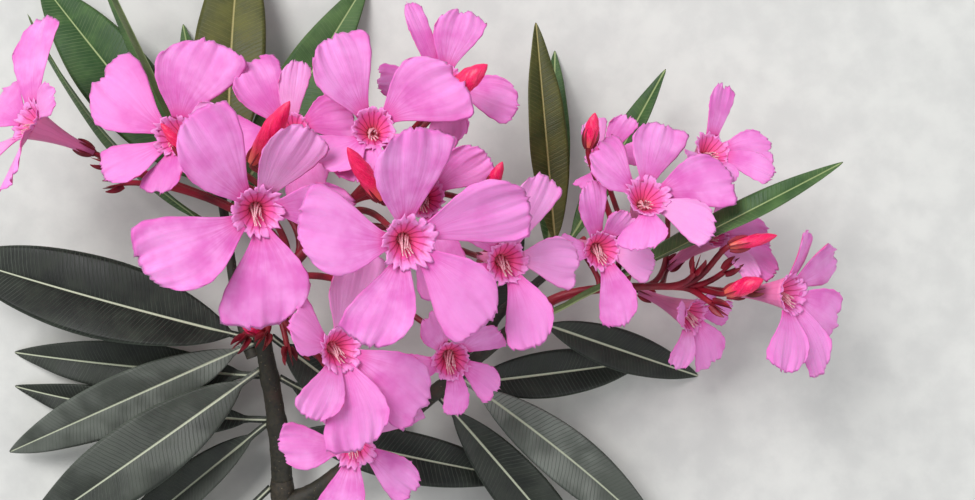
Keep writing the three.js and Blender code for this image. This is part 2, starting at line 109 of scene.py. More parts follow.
def times(first, second):
    return maths("MULTIPLY", first, second)


def plus(first, second):
    return maths("ADD", first, second)


def mixed(share, first, second):
    """The first colour going over to the second. Each is an output or a screen colour."""
    ends = [srgb(*colour) if isinstance(colour, tuple) else colour for colour in (first, second)]
    return wire(share.id_data, "ShaderNodeMix", {"data_type": "RGBA"}, 2, i0=share, i6=ends[0], i7=ends[1])


def layered(colour, *layers):
    """A colour with layers over it. Each layer is how much of it shows, and its colour."""
    for share, over in layers:
        colour = mixed(share, colour, over)
    return colour


def between(value, low, high, start=0.0, end=1.0):
    """A smooth rise from start to end as the value goes from low to high."""
    return wire(value.id_data, "ShaderNodeMapRange", {"interpolation_type": "SMOOTHSTEP"},
                Value=value, From_Min=low, From_Max=high, To_Min=start, To_Max=end)


def noise(where, scale, detail=3.0, rough=0.55):
    return wire(where.id_data, "ShaderNodeTexNoise", Vector=where, Scale=scale, Detail=detail,
                Roughness=rough)


def object_place(tree):
    return wire(tree, "ShaderNodeTexCoord", out=3)


def value_of(tree, name):
    """A number that the mesh holds."""
    return wire(tree, "ShaderNodeAttribute", {"attribute_name": name}, 2)


def parts_of(tree, name):
    """The three parts of a vector that the mesh holds."""
    return split(wire(tree, "ShaderNodeAttribute", {"attribute_name": name}, 1))


def split(vector):
    """A vector's three parts."""
    parts = vector.id_data.nodes.new("ShaderNodeSeparateXYZ")
    vector.id_data.links.new(vector, parts.inputs[0])
    return parts.outputs


def finish_named(name, **settings):
    """A new material, its node tree and a Principled shader. A setting's name has _ for a space."""
    finish = bpy.data.materials.new(name)
    finish.use_nodes = True
    tree = finish.node_tree
    tree.nodes.clear()
    skin = tree.nodes.new("ShaderNodeBsdfPrincipled")
    for title, value in settings.items():
        skin.inputs[title.replace("_", " ")].default_value = value
    tree.links.new(skin.outputs[0], tree.nodes.new("ShaderNodeOutputMaterial").inputs["Surface"])
    return finish, tree, skin


def dress(skin, colour, height, strength, distance):
    """Colours a surface, and raises it by a height from 0 to 1 times the distance, in metres."""
    tree = skin.id_data
    tree.links.new(colour, skin.inputs["Base Color"])
    bump = wire(tree, "ShaderNodeBump", Strength=strength, Distance=distance, Height=height)
    tree.links.new(bump, skin.inputs["Normal"])


plaster, tree, skin = finish_named("plaster", Roughness=0.9)
grain = noise(object_place(tree), BOARD_GRAIN, 6.0)
board_colour = mixed(between(grain, 0.3, 0.7), BOARD_DARK, BOARD_LIGHT)
dress(skin, board_colour, grain, 0.3, 0.0006)
board_mesh = bpy.data.meshes.new("board")
corners = [(x * GROUND_HALF, y * GROUND_HALF, GROUND_Z) for x, y in ((-1, -1), (1, -1), (1, 1), (-1, 1))]
board_mesh.from_pydata(corners, [], [(0, 1, 2, 3)])
board_mesh.materials.append(plaster)
board = bpy.data.objects.new("board", board_mesh)
bpy.context.scene.collection.objects.link(board)

world = bpy.data.worlds.new("pale sky")
world.use_nodes = True
sky = world.node_tree.nodes["Background"].inputs
sky["Color"].default_value = srgb(*SKY)
sky["Strength"].default_value = SKY_STRENGTH
bpy.context.scene.world = world
for title, lamp in LAMPS.items():
    painted_glow = bpy.data.lights.new(title, "AREA")
    painted_glow.size = lamp["size"]
    painted_glow.energy = lamp["watts"]
    stand = bpy.data.objects.new(title, painted_glow)
    across, ahead, above = (float(part) for part in np.subtract(lamp["place"], LAMP_TARGET))
    stand.location = lamp["place"]
    stand.rotation_euler = (math.atan2(math.hypot(across, ahead), above), 0, math.atan2(across, -ahead))
    bpy.context.scene.collection.objects.link(stand)

# Stems. A woody main stem, cut square at its lower end, forks into two shoots, and each of those
# carries a young side shoot. They swell a little where leaves stand in whorls, and the bark has fine
# grain and small pale pores.
MM = 0.001
GAP = 0.3                  # between a stem or stalk and the leaf or flower that it carries
Stem = namedtuple("Stem", "start leave arrive end radii whorls node")
STEMS = {
    "main": Stem((0, 0, 0), (0, 18, 0), (0, 18, 4), (3, 52, 8), (4, 3.3), (0.52, 0.6, 0.76, 0.94),
                 "main_stem"),
    "left": Stem((3, 52.3, 8), (0, 14, 3), (-2, 15, 6), (-1, 98, 22), (3.2, 2.4), (0.36, 0.68, 0.95),
                 "left_shoot"),
    "right": Stem((7.6, 45, 7), (16, 8, 1), (28, 20, 8), (84, 107, 30), (2.6, 1.9), (0.57, 0.64, 0.95),
                  "right_shoot"),
    "young_left": Stem((-4.6, 93, 18.5), (-6, 14, -1), (-3, 14, 1), (-14, 142, 19), (1.8, 1.2),
                       (0.72, 0.87, 0.96), "young_shoot_left"),
    "young_right": Stem((66, 98, 24), (3, 8, -3), (6, 10, -2), (90, 122, 15), (1.6, 1.1), (0.8, 0.95),
                        "young_shoot_right"),
}
STEM_POINTS = 150
STEM_SIDES = 28
CURVE_STEPS = 400
SUNK = 3.0                 # a shoot starts this far inside what carries it
SWELLING = 0.12
SWELLING_REACH = 2.4
COLLAR = 0.35              # extra girth at a shoot's foot
COLLAR_REACH = 4.0
# Both barks are coloured darker than bark alone: their own dark colour with painted shade in it, for stems
# that lie in the shade of the leaves.
STEM_FINISHES = {
    "bark": {"deep": (30, 26, 20), "light": (64, 56, 42), "pore": (136, 124, 98), "blush": (62, 56, 38)},
    "green_bark": {"deep": (22, 20, 14), "light": (50, 46, 32), "pore": (92, 84, 62), "blush": (78, 52, 40)},
}
PORE_SEED = 7
PORE_SHAPE_SEED = 3
PORE_SHAPES = ((0.6, 0.6, 0.25), (1.5, 0.9, 0.4))
CUT_WOOD = (214, 200, 160)
CUT_PITH = (188, 168, 120)


def route(start, leave, arrive, end, count):
    """Evenly spaced points of a cubic curve that leaves its start, and reaches its end, along vectors."""
    share = np.linspace(0, 1, CURVE_STEPS)[:, None]
    hold, pull = np.add(start, leave), np.subtract(end, arrive)
    fine = ((1 - share) ** 3 * start + 3 * (1 - share) ** 2 * share * hold
            + 3 * (1 - share) * share ** 2 * pull + share ** 3 * np.array(end, float))
    reach = np.concatenate([[0], np.cumsum(np.linalg.norm(np.diff(fine, axis=0), axis=1))])
    even = np.linspace(0, reach[-1], count)
    return np.column_stack([np.interp(even, reach, fine[:, k]) for k in range(3)])


def unit(vectors):
    return vectors / np.linalg.norm(vectors, axis=-1, keepdims=True)


def spot(path, place):
    """The point at a share of an evenly spaced path, and the path's direction there."""
    at = place * (len(path) - 1)
    point = np.array([np.interp(at, np.arange(len(path)), path[:, k]) for k in range(3)])
    step = min(int(at), len(path) - 2)
    return point, unit(path[step + 1] - path[step])


def new_tree(name, **inputs):
    """A Geometry Nodes tree with one geometry in, one out and named inputs. Returns it and the inputs."""
    tree = bpy.data.node_groups.new(name, "GeometryNodeTree")
    tree.interface.new_socket("Geometry", in_out="INPUT", socket_type="NodeSocketGeometry")
    tree.interface.new_socket("Geometry", in_out="OUTPUT", socket_type="NodeSocketGeometry")
    for title, kind in inputs.items():
        tree.interface.new_socket(title.replace("_", " "), in_out="INPUT", socket_type=f"NodeSocket{kind}")
    return tree, tree.nodes.new("NodeGroupInput").outputs


def end_tree(tree, geometry, finish):
    """Ends a tree: smooth faces, made real, in one material."""
    smooth = wire(tree, "GeometryNodeSetShadeSmooth", Geometry=geometry)
    real = wire(tree, "GeometryNodeRealizeInstances", Geometry=smooth)
    done = wire(tree, "GeometryNodeSetMaterial", Geometry=real, Material=finish)
    tree.links.new(done, tree.nodes.new("NodeGroupOutput").inputs[0])


def stored(tree, name, kind="FLOAT"):
    return wire(tree, "GeometryNodeInputNamedAttribute", {"data_type": kind}, Name=name)


def attach(mesh, name, values, domain="POINT"):
    """Gives a mesh an attribute, of numbers or of vectors."""
    values = np.asarray(values, float)
    kind, field = ("FLOAT_VECTOR", "vector") if values.ndim == 2 else ("FLOAT", "value")
    mesh.attributes.new(name, kind, domain).data.foreach_set(field, values.ravel())


def grown(name, tree, points, edges, settings, **attributes):
    """The plain mesh object that a tree grows from points in millimetres and the edges between them."""
    mesh = bpy.data.meshes.new(name)
    mesh.from_pydata((np.asarray(points) * MM).tolist(), edges, [])
    for title, values in attributes.items():
        attach(mesh, title, values)
    piece = bpy.data.objects.new(name, mesh)
    bpy.context.scene.collection.objects.link(piece)
    growth = piece.modifiers.new("growth", "NODES")
    growth.node_group = tree
    for item in tree.interface.items_tree:
        if item.in_out == "INPUT" and item.name in settings:
            growth[item.identifier] = settings[item.name]
    grown_piece = piece.evaluated_get(bpy.context.evaluated_depsgraph_get())
    plain = bpy.data.meshes.new_from_object(grown_piece)
    piece.modifiers.remove(growth)
    piece.data = plain
    plain.name = name
    return piece


limbs, given = new_tree("limbs", Sides="Int", Relief="Float", Grain="Float", Pore="Float",
                        Pore_Density="Float", Finish="Material")
paths = wire(limbs, "GeometryNodeMeshToCurve", Mesh=given["Geometry"])
ring = wire(limbs, "GeometryNodeCurvePrimitiveCircle", Resolution=given["Sides"], Radius=1.0)
tubes = wire(limbs, "GeometryNodeCurveToMesh", Curve=paths, Profile_Curve=ring, Scale=stored(limbs, "thick"),
             Fill_Caps=True)
grain = noise(wire(limbs, "GeometryNodeInputPosition"), given["Grain"], 4.0)
lift = times(maths("SUBTRACT", grain, 0.5), given["Relief"])
normal = wire(limbs, "GeometryNodeInputNormal")
outward = wire(limbs, "ShaderNodeVectorMath", {"operation": "SCALE"}, i0=normal, i3=lift)
barked = wire(limbs, "GeometryNodeSetPosition", Geometry=tubes, Offset=outward)
scatter = limbs.nodes.new("GeometryNodeDistributePointsOnFaces")
limbs.links.new(barked, scatter.inputs["Mesh"])
limbs.links.new(given["Pore Density"], scatter.inputs["Density"])
scatter.inputs["Seed"].default_value = PORE_SEED
bead = wire(limbs, "GeometryNodeMeshIcoSphere", Radius=given["Pore"], Subdivisions=1)
marked = wire(limbs, "GeometryNodeStoreNamedAttribute", {"data_type": "FLOAT", "domain": "POINT"},
              Geometry=bead, Name="pore", Value=1.0)
size = wire(limbs, "FunctionNodeRandomValue", {"data_type": "FLOAT_VECTOR"}, i0=PORE_SHAPES[0],
            i1=PORE_SHAPES[1], Seed=PORE_SHAPE_SEED)
pores = wire(limbs, "GeometryNodeInstanceOnPoints", Points=scatter.outputs["Points"], Instance=marked,
             Rotation=scatter.outputs["Rotation"], Scale=size)
joined = limbs.nodes.new("GeometryNodeJoinGeometry")
limbs.links.new(pores, joined.inputs[0])
limbs.links.new(barked, joined.inputs[0])
end_tree(limbs, joined.outputs[0], given["Finish"])


def stem_finish(name, deep, light, pore, blush):
    finish, tree, skin = finish_named(name)
    place = object_place(tree)
    patches = noise(place, 60.0, 4.0)
    streaks = noise(place, 900.0, 5.0, 0.7)
    colour = layered(deep, (between(streaks, 0.3, 0.7), light),
                     (between(patches, 0.5, 0.72, 0.0, 0.6), blush), (value_of(tree, "pore"), pore))
    if name == "bark":
        sawn = between(split(place)[1], 0.0001, 0.0003, 1.0, 0.0)
        across = wire(tree, "ShaderNodeVectorMath", {"operation": "LENGTH"}, 1, i0=place)
        wood = layered(CUT_PITH, (between(across, 0.0006, 0.0009), CUT_WOOD),
                       (between(across, 0.0033, 0.0036), blush))
        colour = mixed(sawn, colour, wood)
    tree.links.new(between(streaks, 0.2, 0.8, 0.5, 0.75), skin.inputs["Roughness"])
    dress(skin, colour, streaks, 0.6, 0.0003)
    return finish


stem_finishes = {name: stem_finish(name, **colours) for name, colours in STEM_FINISHES.items()}
stem_paths = {name: route(*stem[:4], STEM_POINTS) for name, stem in STEMS.items()}


def chain(points):
    """The edges that join a row of points."""
    return [(k, k + 1) for k in range(len(points) - 1)]


def sunk(path):
    """A path with one more point before it, inside what carries it."""
    return np.vstack([path[0] - unit(path[1] - path[0]) * SUNK, path])


for name, stem in STEMS.items():
    path, finish, slot = stem_paths[name], "green_bark", "green_stem"
    share = np.linspace(0, 1, STEM_POINTS)
    run = share * np.linalg.norm(np.diff(path, axis=0), axis=1).sum()
    thick = stem.radii[0] + (stem.radii[1] - stem.radii[0]) * share
    for whorl in stem.whorls:
        thick = thick * (1 + SWELLING * np.exp(-(((run - whorl * run[-1]) / SWELLING_REACH) ** 2)))
    if name == "main":
        finish, slot = "bark", "bark"
    else:
        collar = 0 if name == "left" else COLLAR
        thick = thick * (1 + collar * np.exp(-((run / COLLAR_REACH) ** 2)))
        path, thick = sunk(path), np.append(thick[0], thick)
    piece = grown(f"{stem.node}_bark", limbs, path, chain(path),
                  {"Sides": STEM_SIDES, "Relief": 0.0005, "Grain": 420.0, "Pore": 0.0002,
                   "Pore Density": 70000.0, "Finish": stem_finishes[finish]}, thick=thick * MM)
    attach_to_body(piece, "root")
    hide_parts(stem.node)

# Leaves. Long leathery blades on short stalks, in whorls of three. Each is folded a little along
# its pale midrib, and dense fine side veins run from that to a vein that follows the margin.
PETIOLE_WIDTH = 2.2
PETIOLE_SHARE = 0.06       # of the leaf's length
LEAF_ROWS = 64
LEAF_HALF_COLUMNS = 12
LEAF_ROOT = 1.2            # the leaf's stalk reaches this far back into the bark
LEAF_TIP = 0.996
BLADE_HALF = 0.17
MIDRIB_HEIGHT = 0.55
MIDRIB_WIDTH = 0.75
PETIOLE_HALF = 0.75
VEIN_PERIOD = 1.35         # mm, between side veins
VEIN_SLANT = 0.42          # how far a side vein runs forward for each millimetre outward
PETIOLE_END = 0.12         # the share of the leaf in which its stalk widens to the blade
MARGIN_HALF = 0.12         # half the width where a blade runs out
FOLD_BULGE = 0.45
MIDRIB_TAPER = 0.75
GROOVE_DEPTH = 0.1
GROOVE_WIDTH = 0.5
WAVES = (2.2, 3.6)         # waves of a blade's margin, from foot to tip
WAVE_HEIGHT = 0.02         # of the blade's width
ANY_PHASE = (0, 6.28)
# A leaf with no painted sheen of its own gets up to this much by chance, as a painted grey reflection; the
# same number sets its random tone.
PLAIN_PAINTED_SHEEN = 0.25
FINE_VEINS = 2.7           # fine veins for each coarse one
RIB_WIDTH = 0.85
RIB_TAPER = 0.005
# Each kind's sheen colour is a painted sheen: a grey reflection of the sky, painted in patches on the upper
# side of some blades.
LEAF_FINISHES = {
    "leaf": {"dark": (15, 18, 14), "light": (42, 47, 38), "sheen": (130, 134, 126),
             "vein": (100, 108, 96), "rib": (186, 190, 166), "under": (120, 128, 96)},
    "young_leaf": {"dark": (40, 72, 34), "light": (76, 108, 56), "sheen": (112, 134, 92),
                   "vein": (118, 136, 88), "rib": (156, 170, 118), "under": (104, 120, 70)},
    "olive_leaf": {"dark": (58, 62, 24), "light": (94, 94, 42), "sheen": (124, 116, 78),
                   "vein": (124, 122, 68), "rib": (160, 150, 98), "under": (98, 92, 54)},
}
# A leaf's sheen is how much painted reflection its blade has, from 0 to 1.
Leaf = namedtuple("Leaf", "stem place turn length width rise droop roll fold sway twist sheen",
                  defaults=(None, 10, 0, 15, 0, 0, 0))
LEAVES = [
    # Left shoot, from the flower cluster back to the fork
    Leaf("left", 0.96, 165, 98, 25, rise=12, droop=34, roll=-18),
    Leaf("left", 0.93, 204, 90, 18, rise=-2, droop=22, roll=12, sheen=0.6),
    Leaf("left", 0.94, -40, 54, 16, rise=-16, droop=14),
    Leaf("left", 0.74, 216, 92, 22, rise=6, droop=26, sway=0.02, sheen=0.35),
    Leaf("left", 0.66, -32, 48, 11, droop=16, roll=10, fold=20),
    Leaf("left", 0.7, 178, 84, 16, droop=12, sway=0.03),
    Leaf("left", 0.36, 219, 74, 14, droop=10, roll=-14, fold=20),
    Leaf("left", 0.4, 180, 84, 15, droop=10, roll=6, sway=0.1),
    Leaf("left", 0.34, -12, 76, 16, rise=13, droop=40, sway=0.02),
    # Main stem
    Leaf("main", 0.94, 224, 86, 17, rise=5, droop=14),
    Leaf("main", 0.76, -30, 80, 15, droop=8),
    Leaf("main", 0.6, 228, 88, 18, droop=12),
    Leaf("main", 0.56, -54, 84, 17, droop=12),
    Leaf("main", 0.5, 262, 66, 14, droop=16),
    # Right shoot
    Leaf("right", 0.62, 5, 64, 15, droop=14),
    Leaf("right", 0.65, -35, 88, 17, droop=20, sway=0.1, sheen=0.9),
    Leaf("right", 0.56, -49, 86, 17, droop=20, sway=0.04),
    Leaf("right", 0.64, 62, 50, 12, rise=-20, droop=6),
    Leaf("right", 0.97, 28, 94, 11, rise=22, droop=20, roll=118, fold=16, twist=-108),
    Leaf("right", 0.93, -20, 64, 13, droop=10),
]
YOUNG_LEAVES = [
    Leaf("young_left", 0.72, 149, 82, 10, rise=6, roll=62, fold=10, sway=0.32),
    Leaf("young_left", 0.94, 131, 94, 23, droop=18, roll=-8),
    Leaf("young_left", 0.96, 116, 78, 12, rise=8, droop=14, roll=68, fold=30),
    Leaf("young_left", 0.99, 90, 84, 22, droop=30, fold=10),
    Leaf("young_left", 0.9, 106, 62, 11, rise=-16, droop=6, roll=20, fold=18),
    Leaf("young_left", 0.84, 62, 86, 17, droop=12, fold=12),
    Leaf("young_right", 0.9, 95, 70, 13, rise=6, roll=-16, fold=22),
    Leaf("young_right", 0.8, 86, 70, 11, droop=8, sway=-0.02),
    Leaf("young_right", 0.98, 61, 62, 10, rise=4, droop=8, roll=30, fold=18),
]
LEAF_KINDS = {"leaf_19": "young_leaf", "young_leaf_4": "olive_leaf", "young_leaf_7": "olive_leaf"}


def heading(turn, rise):
    """The unit vector at a compass turn from +X towards +Y, raised above the level."""
    turn, rise = math.radians(turn), math.radians(rise)
    return np.array([math.cos(rise) * math.cos(turn), math.cos(rise) * math.sin(turn), math.sin(rise)])


def resting_rise(height, length, droop):
    """The rise, in degrees, that brings an arching leaf's tip down to the ground."""
    bend = math.radians(droop)
    run, drop = length * math.sin(bend) / bend, length * (1 - math.cos(bend)) / bend
    ground = GROUND_Z / MM
    return math.degrees(math.asin((ground - height) / math.hypot(run, drop)) + math.atan2(drop, run))


def leaf_root(leaf, ahead):
    """Where a leaf's stalk starts, on the side of the stem that it points to."""
    centre, along = spot(stem_paths[leaf.stem], leaf.place)
    slant = ahead @ along
    low, high = STEMS[leaf.stem].radii
    clear = low + (high - low) * leaf.place + GAP + PETIOLE_WIDTH / 2 * abs(slant)
    return centre + unit(ahead - slant * along) * clear


def settled(leaf):
    """A leaf's root and rise. One with no rise of its own rests its tip on the ground."""
    rise = leaf.rise or 0
    root = leaf_root(leaf, heading(leaf.turn, rise))
    if leaf.rise is None:
        for _ in range(4):
            rise = resting_rise(root[2], leaf.length, leaf.droop)
            root = leaf_root(leaf, heading(leaf.turn, rise))
    return root, rise


def closed_sheet(middle, above, below):
    """Points and faces of a closed thin sheet round a grid of middle points, and for each face 1 on
    the upper side or 0. Upper is the side that the grid's rows crossed with its columns point to."""
    rows, columns, _ = middle.shape
    normal = unit(np.cross(np.gradient(middle, axis=0), np.gradient(middle, axis=1)))
    number = np.arange(rows * columns).reshape(rows, columns)
    inside = np.zeros((rows, columns), bool)
    inside[1:-1, 1:-1] = True
    under = number.copy()
    under[inside] = rows * columns + np.arange(inside.sum())
    top = np.where(inside[..., None], middle + normal * above[..., None], middle).reshape(-1, 3)
    bottom = (middle - normal * below[..., None])[inside]

    def quads(grid):
        return np.stack([grid[:-1, :-1], grid[1:, :-1], grid[1:, 1:], grid[:-1, 1:]], -1).reshape(-1, 4)

    faces = np.concatenate([quads(number), quads(under)[:, ::-1]]).tolist()
    upper = np.repeat([1.0, 0.0], len(faces) // 2)
    return np.concatenate([top, bottom]), faces, upper, inside


def both_sides(values, inside):
    """The values of a sheet's grid, for the points of both of its sides."""
    flat = values.reshape(-1, *values.shape[2:])
    return np.concatenate([flat, flat[inside.ravel()]])


def new_piece(name, points, faces, finishes, which=None):
    """An object of smooth faces, from points in millimetres."""
    mesh = bpy.data.meshes.new(name)
    mesh.from_pydata((points * MM).tolist(), [], faces)
    for finish in finishes:
        mesh.materials.append(finish)
    if which is not None:
        mesh.polygons.foreach_set("material_index", which)
    mesh.polygons.foreach_set("use_smooth", [True] * len(mesh.polygons))
    piece = bpy.data.objects.new(name, mesh)
    bpy.context.scene.collection.objects.link(piece)
    return piece


def blade_width(share):
    """Half the width of the blade, 0 to 1, at a share of its length."""
    return np.sin(np.pi * np.clip(share, 0, 1) ** 0.85) ** 0.8


def leaf_piece(name, leaf, finish, draw):
    length, width, fold = leaf.length, leaf.width, math.radians(leaf.fold)
    root, rise = settled(leaf)
    ahead = heading(leaf.turn, rise)
    right = unit(np.cross(ahead, (0, 0, 1)))
    above = np.cross(right, ahead)
    share = np.concatenate([[-LEAF_ROOT / length], np.linspace(0, LEAF_TIP, LEAF_ROWS)])
    bend = math.radians(leaf.droop)
    run = (length * np.sin(bend * share) / bend)[:, None]
    drop = (length * (1 - np.cos(bend * share)) / bend)[:, None]
    sway = (leaf.sway * length * share * np.abs(share))[:, None]
    rib = root + ahead * run - above * drop + right * sway
    bent = (bend * share)[:, None]
    lean = np.radians(leaf.roll + leaf.twist * share)[:, None]
    normal = above * np.cos(bent) + ahead * np.sin(bent)
    side = right * np.cos(lean) + normal * np.sin(lean)
    top = normal * np.cos(lean) - right * np.sin(lean)
    blade_share = (share - PETIOLE_SHARE) / (1 - PETIOLE_SHARE)
    narrowest = np.where(share < PETIOLE_END, PETIOLE_WIDTH / 2, MARGIN_HALF)
    reach = np.maximum(blade_width(blade_share) * width / 2, narrowest)
    even = np.linspace(1, -1, 2 * LEAF_HALF_COLUMNS + 1)
    columns = np.sign(even) * np.abs(even) ** 1.5
    across = columns[None, :] * reach[:, None]
    edge = np.abs(columns)[None, :]
    lift = reach[:, None] * math.sin(fold) * edge * (1 + FOLD_BULGE * (1 - edge))
    on_blade = np.clip(blade_share * 6, 0, 1)[:, None] * np.clip((1 - share) * 8, 0, 1)[:, None]
    waves, phase, other = draw.uniform(*WAVES), draw.uniform(*ANY_PHASE), draw.uniform(*ANY_PHASE)
    turned = np.where(columns > 0, phase, other)[None, :]
    wave = np.sin(2 * np.pi * waves * share[:, None] + turned)
    lift = lift + on_blade * edge ** 2 * WAVE_HEIGHT * width * wave
    out = across * math.cos(fold)
    middle = rib[:, None, :] + side[:, None, :] * out[..., None] + top[:, None, :] * lift[..., None]
    stalk = np.clip(1 - blade_share * 14, 0, 1)[:, None]
    ridge = np.exp(-((across / MIDRIB_WIDTH) ** 2)) * MIDRIB_HEIGHT
    ridge = ridge * (1 - MIDRIB_TAPER * np.clip(share, 0, 1))[:, None]
    thick_above = BLADE_HALF + stalk * (PETIOLE_HALF - BLADE_HALF) * (1 - edge ** 2)
    thick_above = thick_above - GROOVE_DEPTH * np.exp(-((across / GROOVE_WIDTH) ** 2)) * (1 - stalk)
    thick_below = BLADE_HALF + ridge * (1 - stalk) + stalk * PETIOLE_HALF * (1 - edge ** 2)
    points, faces, upper, inside = closed_sheet(middle, thick_above, thick_below)
    piece = new_piece(name, points, faces, [finish])
    spread = np.stack(np.broadcast_arrays(across, (share * length)[:, None], edge), -1)
    attach(piece.data, "blade", both_sides(spread, inside))
    attach(piece.data, "upper", upper, "FACE")
    # The leaf's random tone, raised to its own painted sheen where that is more; it sets both its tone and
    # how much painted sheen it shows.
    attach(piece.data, "tone_and_highlight", np.full(len(points), max(leaf.sheen, draw.uniform(0, PLAIN_PAINTED_SHEEN))))
    return piece


def leaf_finish(name, dark, light, sheen, vein, rib, under):
    finish, tree, skin = finish_named(name, Specular_IOR_Level=0.28)
    across, along, edge = parts_of(tree, "blade")
    off_rib = maths("ABSOLUTE", across)
    tone_and_highlight = value_of(tree, "tone_and_highlight")
    place = object_place(tree)
    mottle = noise(place, 140.0, 4.0)
    stray = times(noise(place, 200.0, 2.0), 0.7)
    slanted = maths("SUBTRACT", along, times(off_rib, VEIN_SLANT))
    phase = plus(maths("DIVIDE", slanted, VEIN_PERIOD), stray)
    coarse = between(maths("PINGPONG", phase, 0.5), 0.0, 0.15, 1.0, 0.0)
    fine = maths("PINGPONG", times(phase, FINE_VEINS), 0.5)
    lines = maths("MAXIMUM", coarse, between(fine, 0.0, 0.3, 0.3, 0.0))
    rib_width = maths("SUBTRACT", RIB_WIDTH, times(along, RIB_TAPER))
    midrib = between(maths("DIVIDE", off_rib, rib_width), 0.3, 0.7, 1.0, 0.0)
    margin = between(edge, 0.93, 1.0)
    shade = plus(mottle, times(tone_and_highlight, 0.25))
    # Painted sheen: grey patches of painted reflection over the blade, fainter on the veins.
    painted_sheen_share = times(tone_and_highlight, between(noise(place, 42.0, 3.0), 0.42, 0.6, 0.4, 1.0))
    painted_sheen_share = times(painted_sheen_share, between(lines, 0.0, 1.0, 1.0, 0.35))
    patchy = between(noise(place, 60.0, 3.0), 0.35, 0.7, 0.1, 0.5)
    face = layered(dark, (between(shade, 0.35, 0.85), light), (painted_sheen_share, sheen),
                   (times(lines, patchy), vein), (times(margin, 0.5), vein), (midrib, rib))
    back = layered(under, (times(lines, 0.3), vein), (between(mottle, 0.35, 0.75, 0.0, 0.4), dark),
                   (midrib, rib))
    tree.links.new(between(mottle, 0.2, 0.8, 0.38, 0.58), skin.inputs["Roughness"])
    height = maths("SUBTRACT", times(mottle, 0.3), times(lines, 0.5))
    dress(skin, mixed(value_of(tree, "upper"), back, face), height, 0.5, 0.0003)
    return finish


leaf_finishes = {name: leaf_finish(name, **colours) for name, colours in LEAF_FINISHES.items()}
leaf_draw = np.random.default_rng(11)
for kind, table in (("leaf", LEAVES), ("young_leaf", YOUNG_LEAVES)):
    for number, leaf in enumerate(table, 1):
        node = f"{kind}_{number}"
        piece = leaf_piece(f"{node}_blade", leaf, leaf_finishes[LEAF_KINDS.get(node, kind)], leaf_draw)
        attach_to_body(piece, "root")
        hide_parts(node)

# Flower stalks. Each shoot ends in a red stalk that forks to every flower and bud of its cluster.
# Each flower's tube stands in a cup of five pointed dark red sepals.
TUBE = 20                  # from a flower's mouth back to the foot of its calyx
# A bloom is at its mouth and faces a turn and a tilt. Its lifts are its petals' slopes at foot and
# tip, and its fork is a share of the stalk. Each petal has a turn, a reach and a breadth.
Bloom = namedtuple("Bloom", "at faces lifts fork spread reach breadth tube", defaults=(TUBE,))
Bud = namedtuple("Bud", "base tip radius fork")
Calyx = namedtuple("Calyx", "at faces fork")
BLOOMS = {
    "left": [
        Bloom((7, 132, 72), (-40, 20), (24, -6), 0.3,
              (128, 65, 5, -80, -150), (26, 21, 21, 26, 28), (21, 17, 18, 26, 23)),
        Bloom((46, 124, 84), (-35, 18), (20, -4), 0.62,
              (94, 24, -40, -107, 176), (24, 28, 25, 23, 23), (22, 20, 21, 18, 23)),
        Bloom((27, 96, 62), (0, 34), (26, -2), 0.08,
              (89, -28, -75, -113, 160), (22, 25, 23, 16, 13), (19, 20, 20, 13, 15)),
        Bloom((29, 68, 46), (-70, 14), (20, 0), 0.04,
              (182, -98, -30, 50, 110), (16, 20, 17, 17, 18), (14, 15, 15, 16, 16)),
        Bloom((56, 92, 50), (-50, 15), (25, 5), 0.2,
              (120, 42, -28, -80, 192), (11, 11, 11, 11, 8), (11, 12, 11, 8, 8)),
        Bloom((71, 119, 68), (-10, 20), (22, 0), 0.5,
              (6, -66, 74, 130, 205), (15, 19, 20, 17, 17), (16, 15, 14, 16, 16)),
        Bloom((36, 154, 64), (60, 12), (24, 0), 0.97,
              (124, 40, 226, -40, -95), (22, 22, 13, 16, 11), (20, 23, 16, 16, 14)),
        Bloom((13, 154, 56), (100, 15), (20, 0), 0.6,
              (130, 90, 20, -60, 200), (18, 15, 13, 16, 11), (17, 9, 15, 16, 16)),
        Bloom((-19, 153, 52), (150, 14), (20, 0), 0.4,
              (150, 74, 214, -95, 20), (23, 23, 18, 12, 12), (23, 25, 14, 14, 14)),
        Bloom((-60, 157, 48), (152, 50), (25, 0), 0.26,
              (83, 145, 215, -72, 10), (27, 18, 18, 19, 12), (17, 16, 16, 16, 12)),
        Bloom((54, 168, 46), (60, 12), (20, 0), 0.9,
              (118, 82, -12, -80, 190), (20, 17, 17, 14, 14), (7, 15, 13, 13, 13)),
        Bloom((49, 136, 55), (0, 5), (15, 0), 0.8,
              (42, 115, -72, 84, 192), (16, 12, 24, 14, 4), (14, 12, 16, 12, 8)),
    ],
    "right": [
        Bloom((109, 136, 54), (70, 24), (22, 0), 0.45,
              (85, 22, -25, -92, 148), (18, 20, 16, 12, 15), (17, 17, 12, 14, 19)),
        Bloom((129, 150, 42), (50, 35), (35, 10), 0.6,
              (88, 12, -20, 225, 290), (16, 13, 14, 7, 8), (9, 12, 9, 8, 8)),
        Bloom((97, 122, 52), (-20, 15), (22, 0), 0.3,
              (109, 62, -13, -70, 180), (15, 8, 11, 17, 8), (10, 9, 11, 12, 8)),
        Bloom((99, 148, 37), (110, 30), (30, 10), 0.4,
              (110, 60, 250, 300, 0), (8, 10, 8, 8, 8), (9, 8, 9, 8, 8), 12),
        Bloom((149, 110, 48), (0, 46), (25, 0), 0.95,
              (78, 36, -18, -60, -104), (14, 18, 18, 21, 18), (10, 15, 16, 12, 16)),
        Bloom((126, 103, 27), (-25, 50), (25, 0), 0.55,
              (-8, -62, -120, 38, 158), (12, 16, 12, 6, 6), (10, 13, 10, 8, 8)),
        Bloom((129, 127, 41), (45, 45), (25, 0), 0.7,
              (62, 18, -20, -44, 130), (12, 15, 17, 14, 10), (12, 12, 11, 8, 9)),
    ],
}
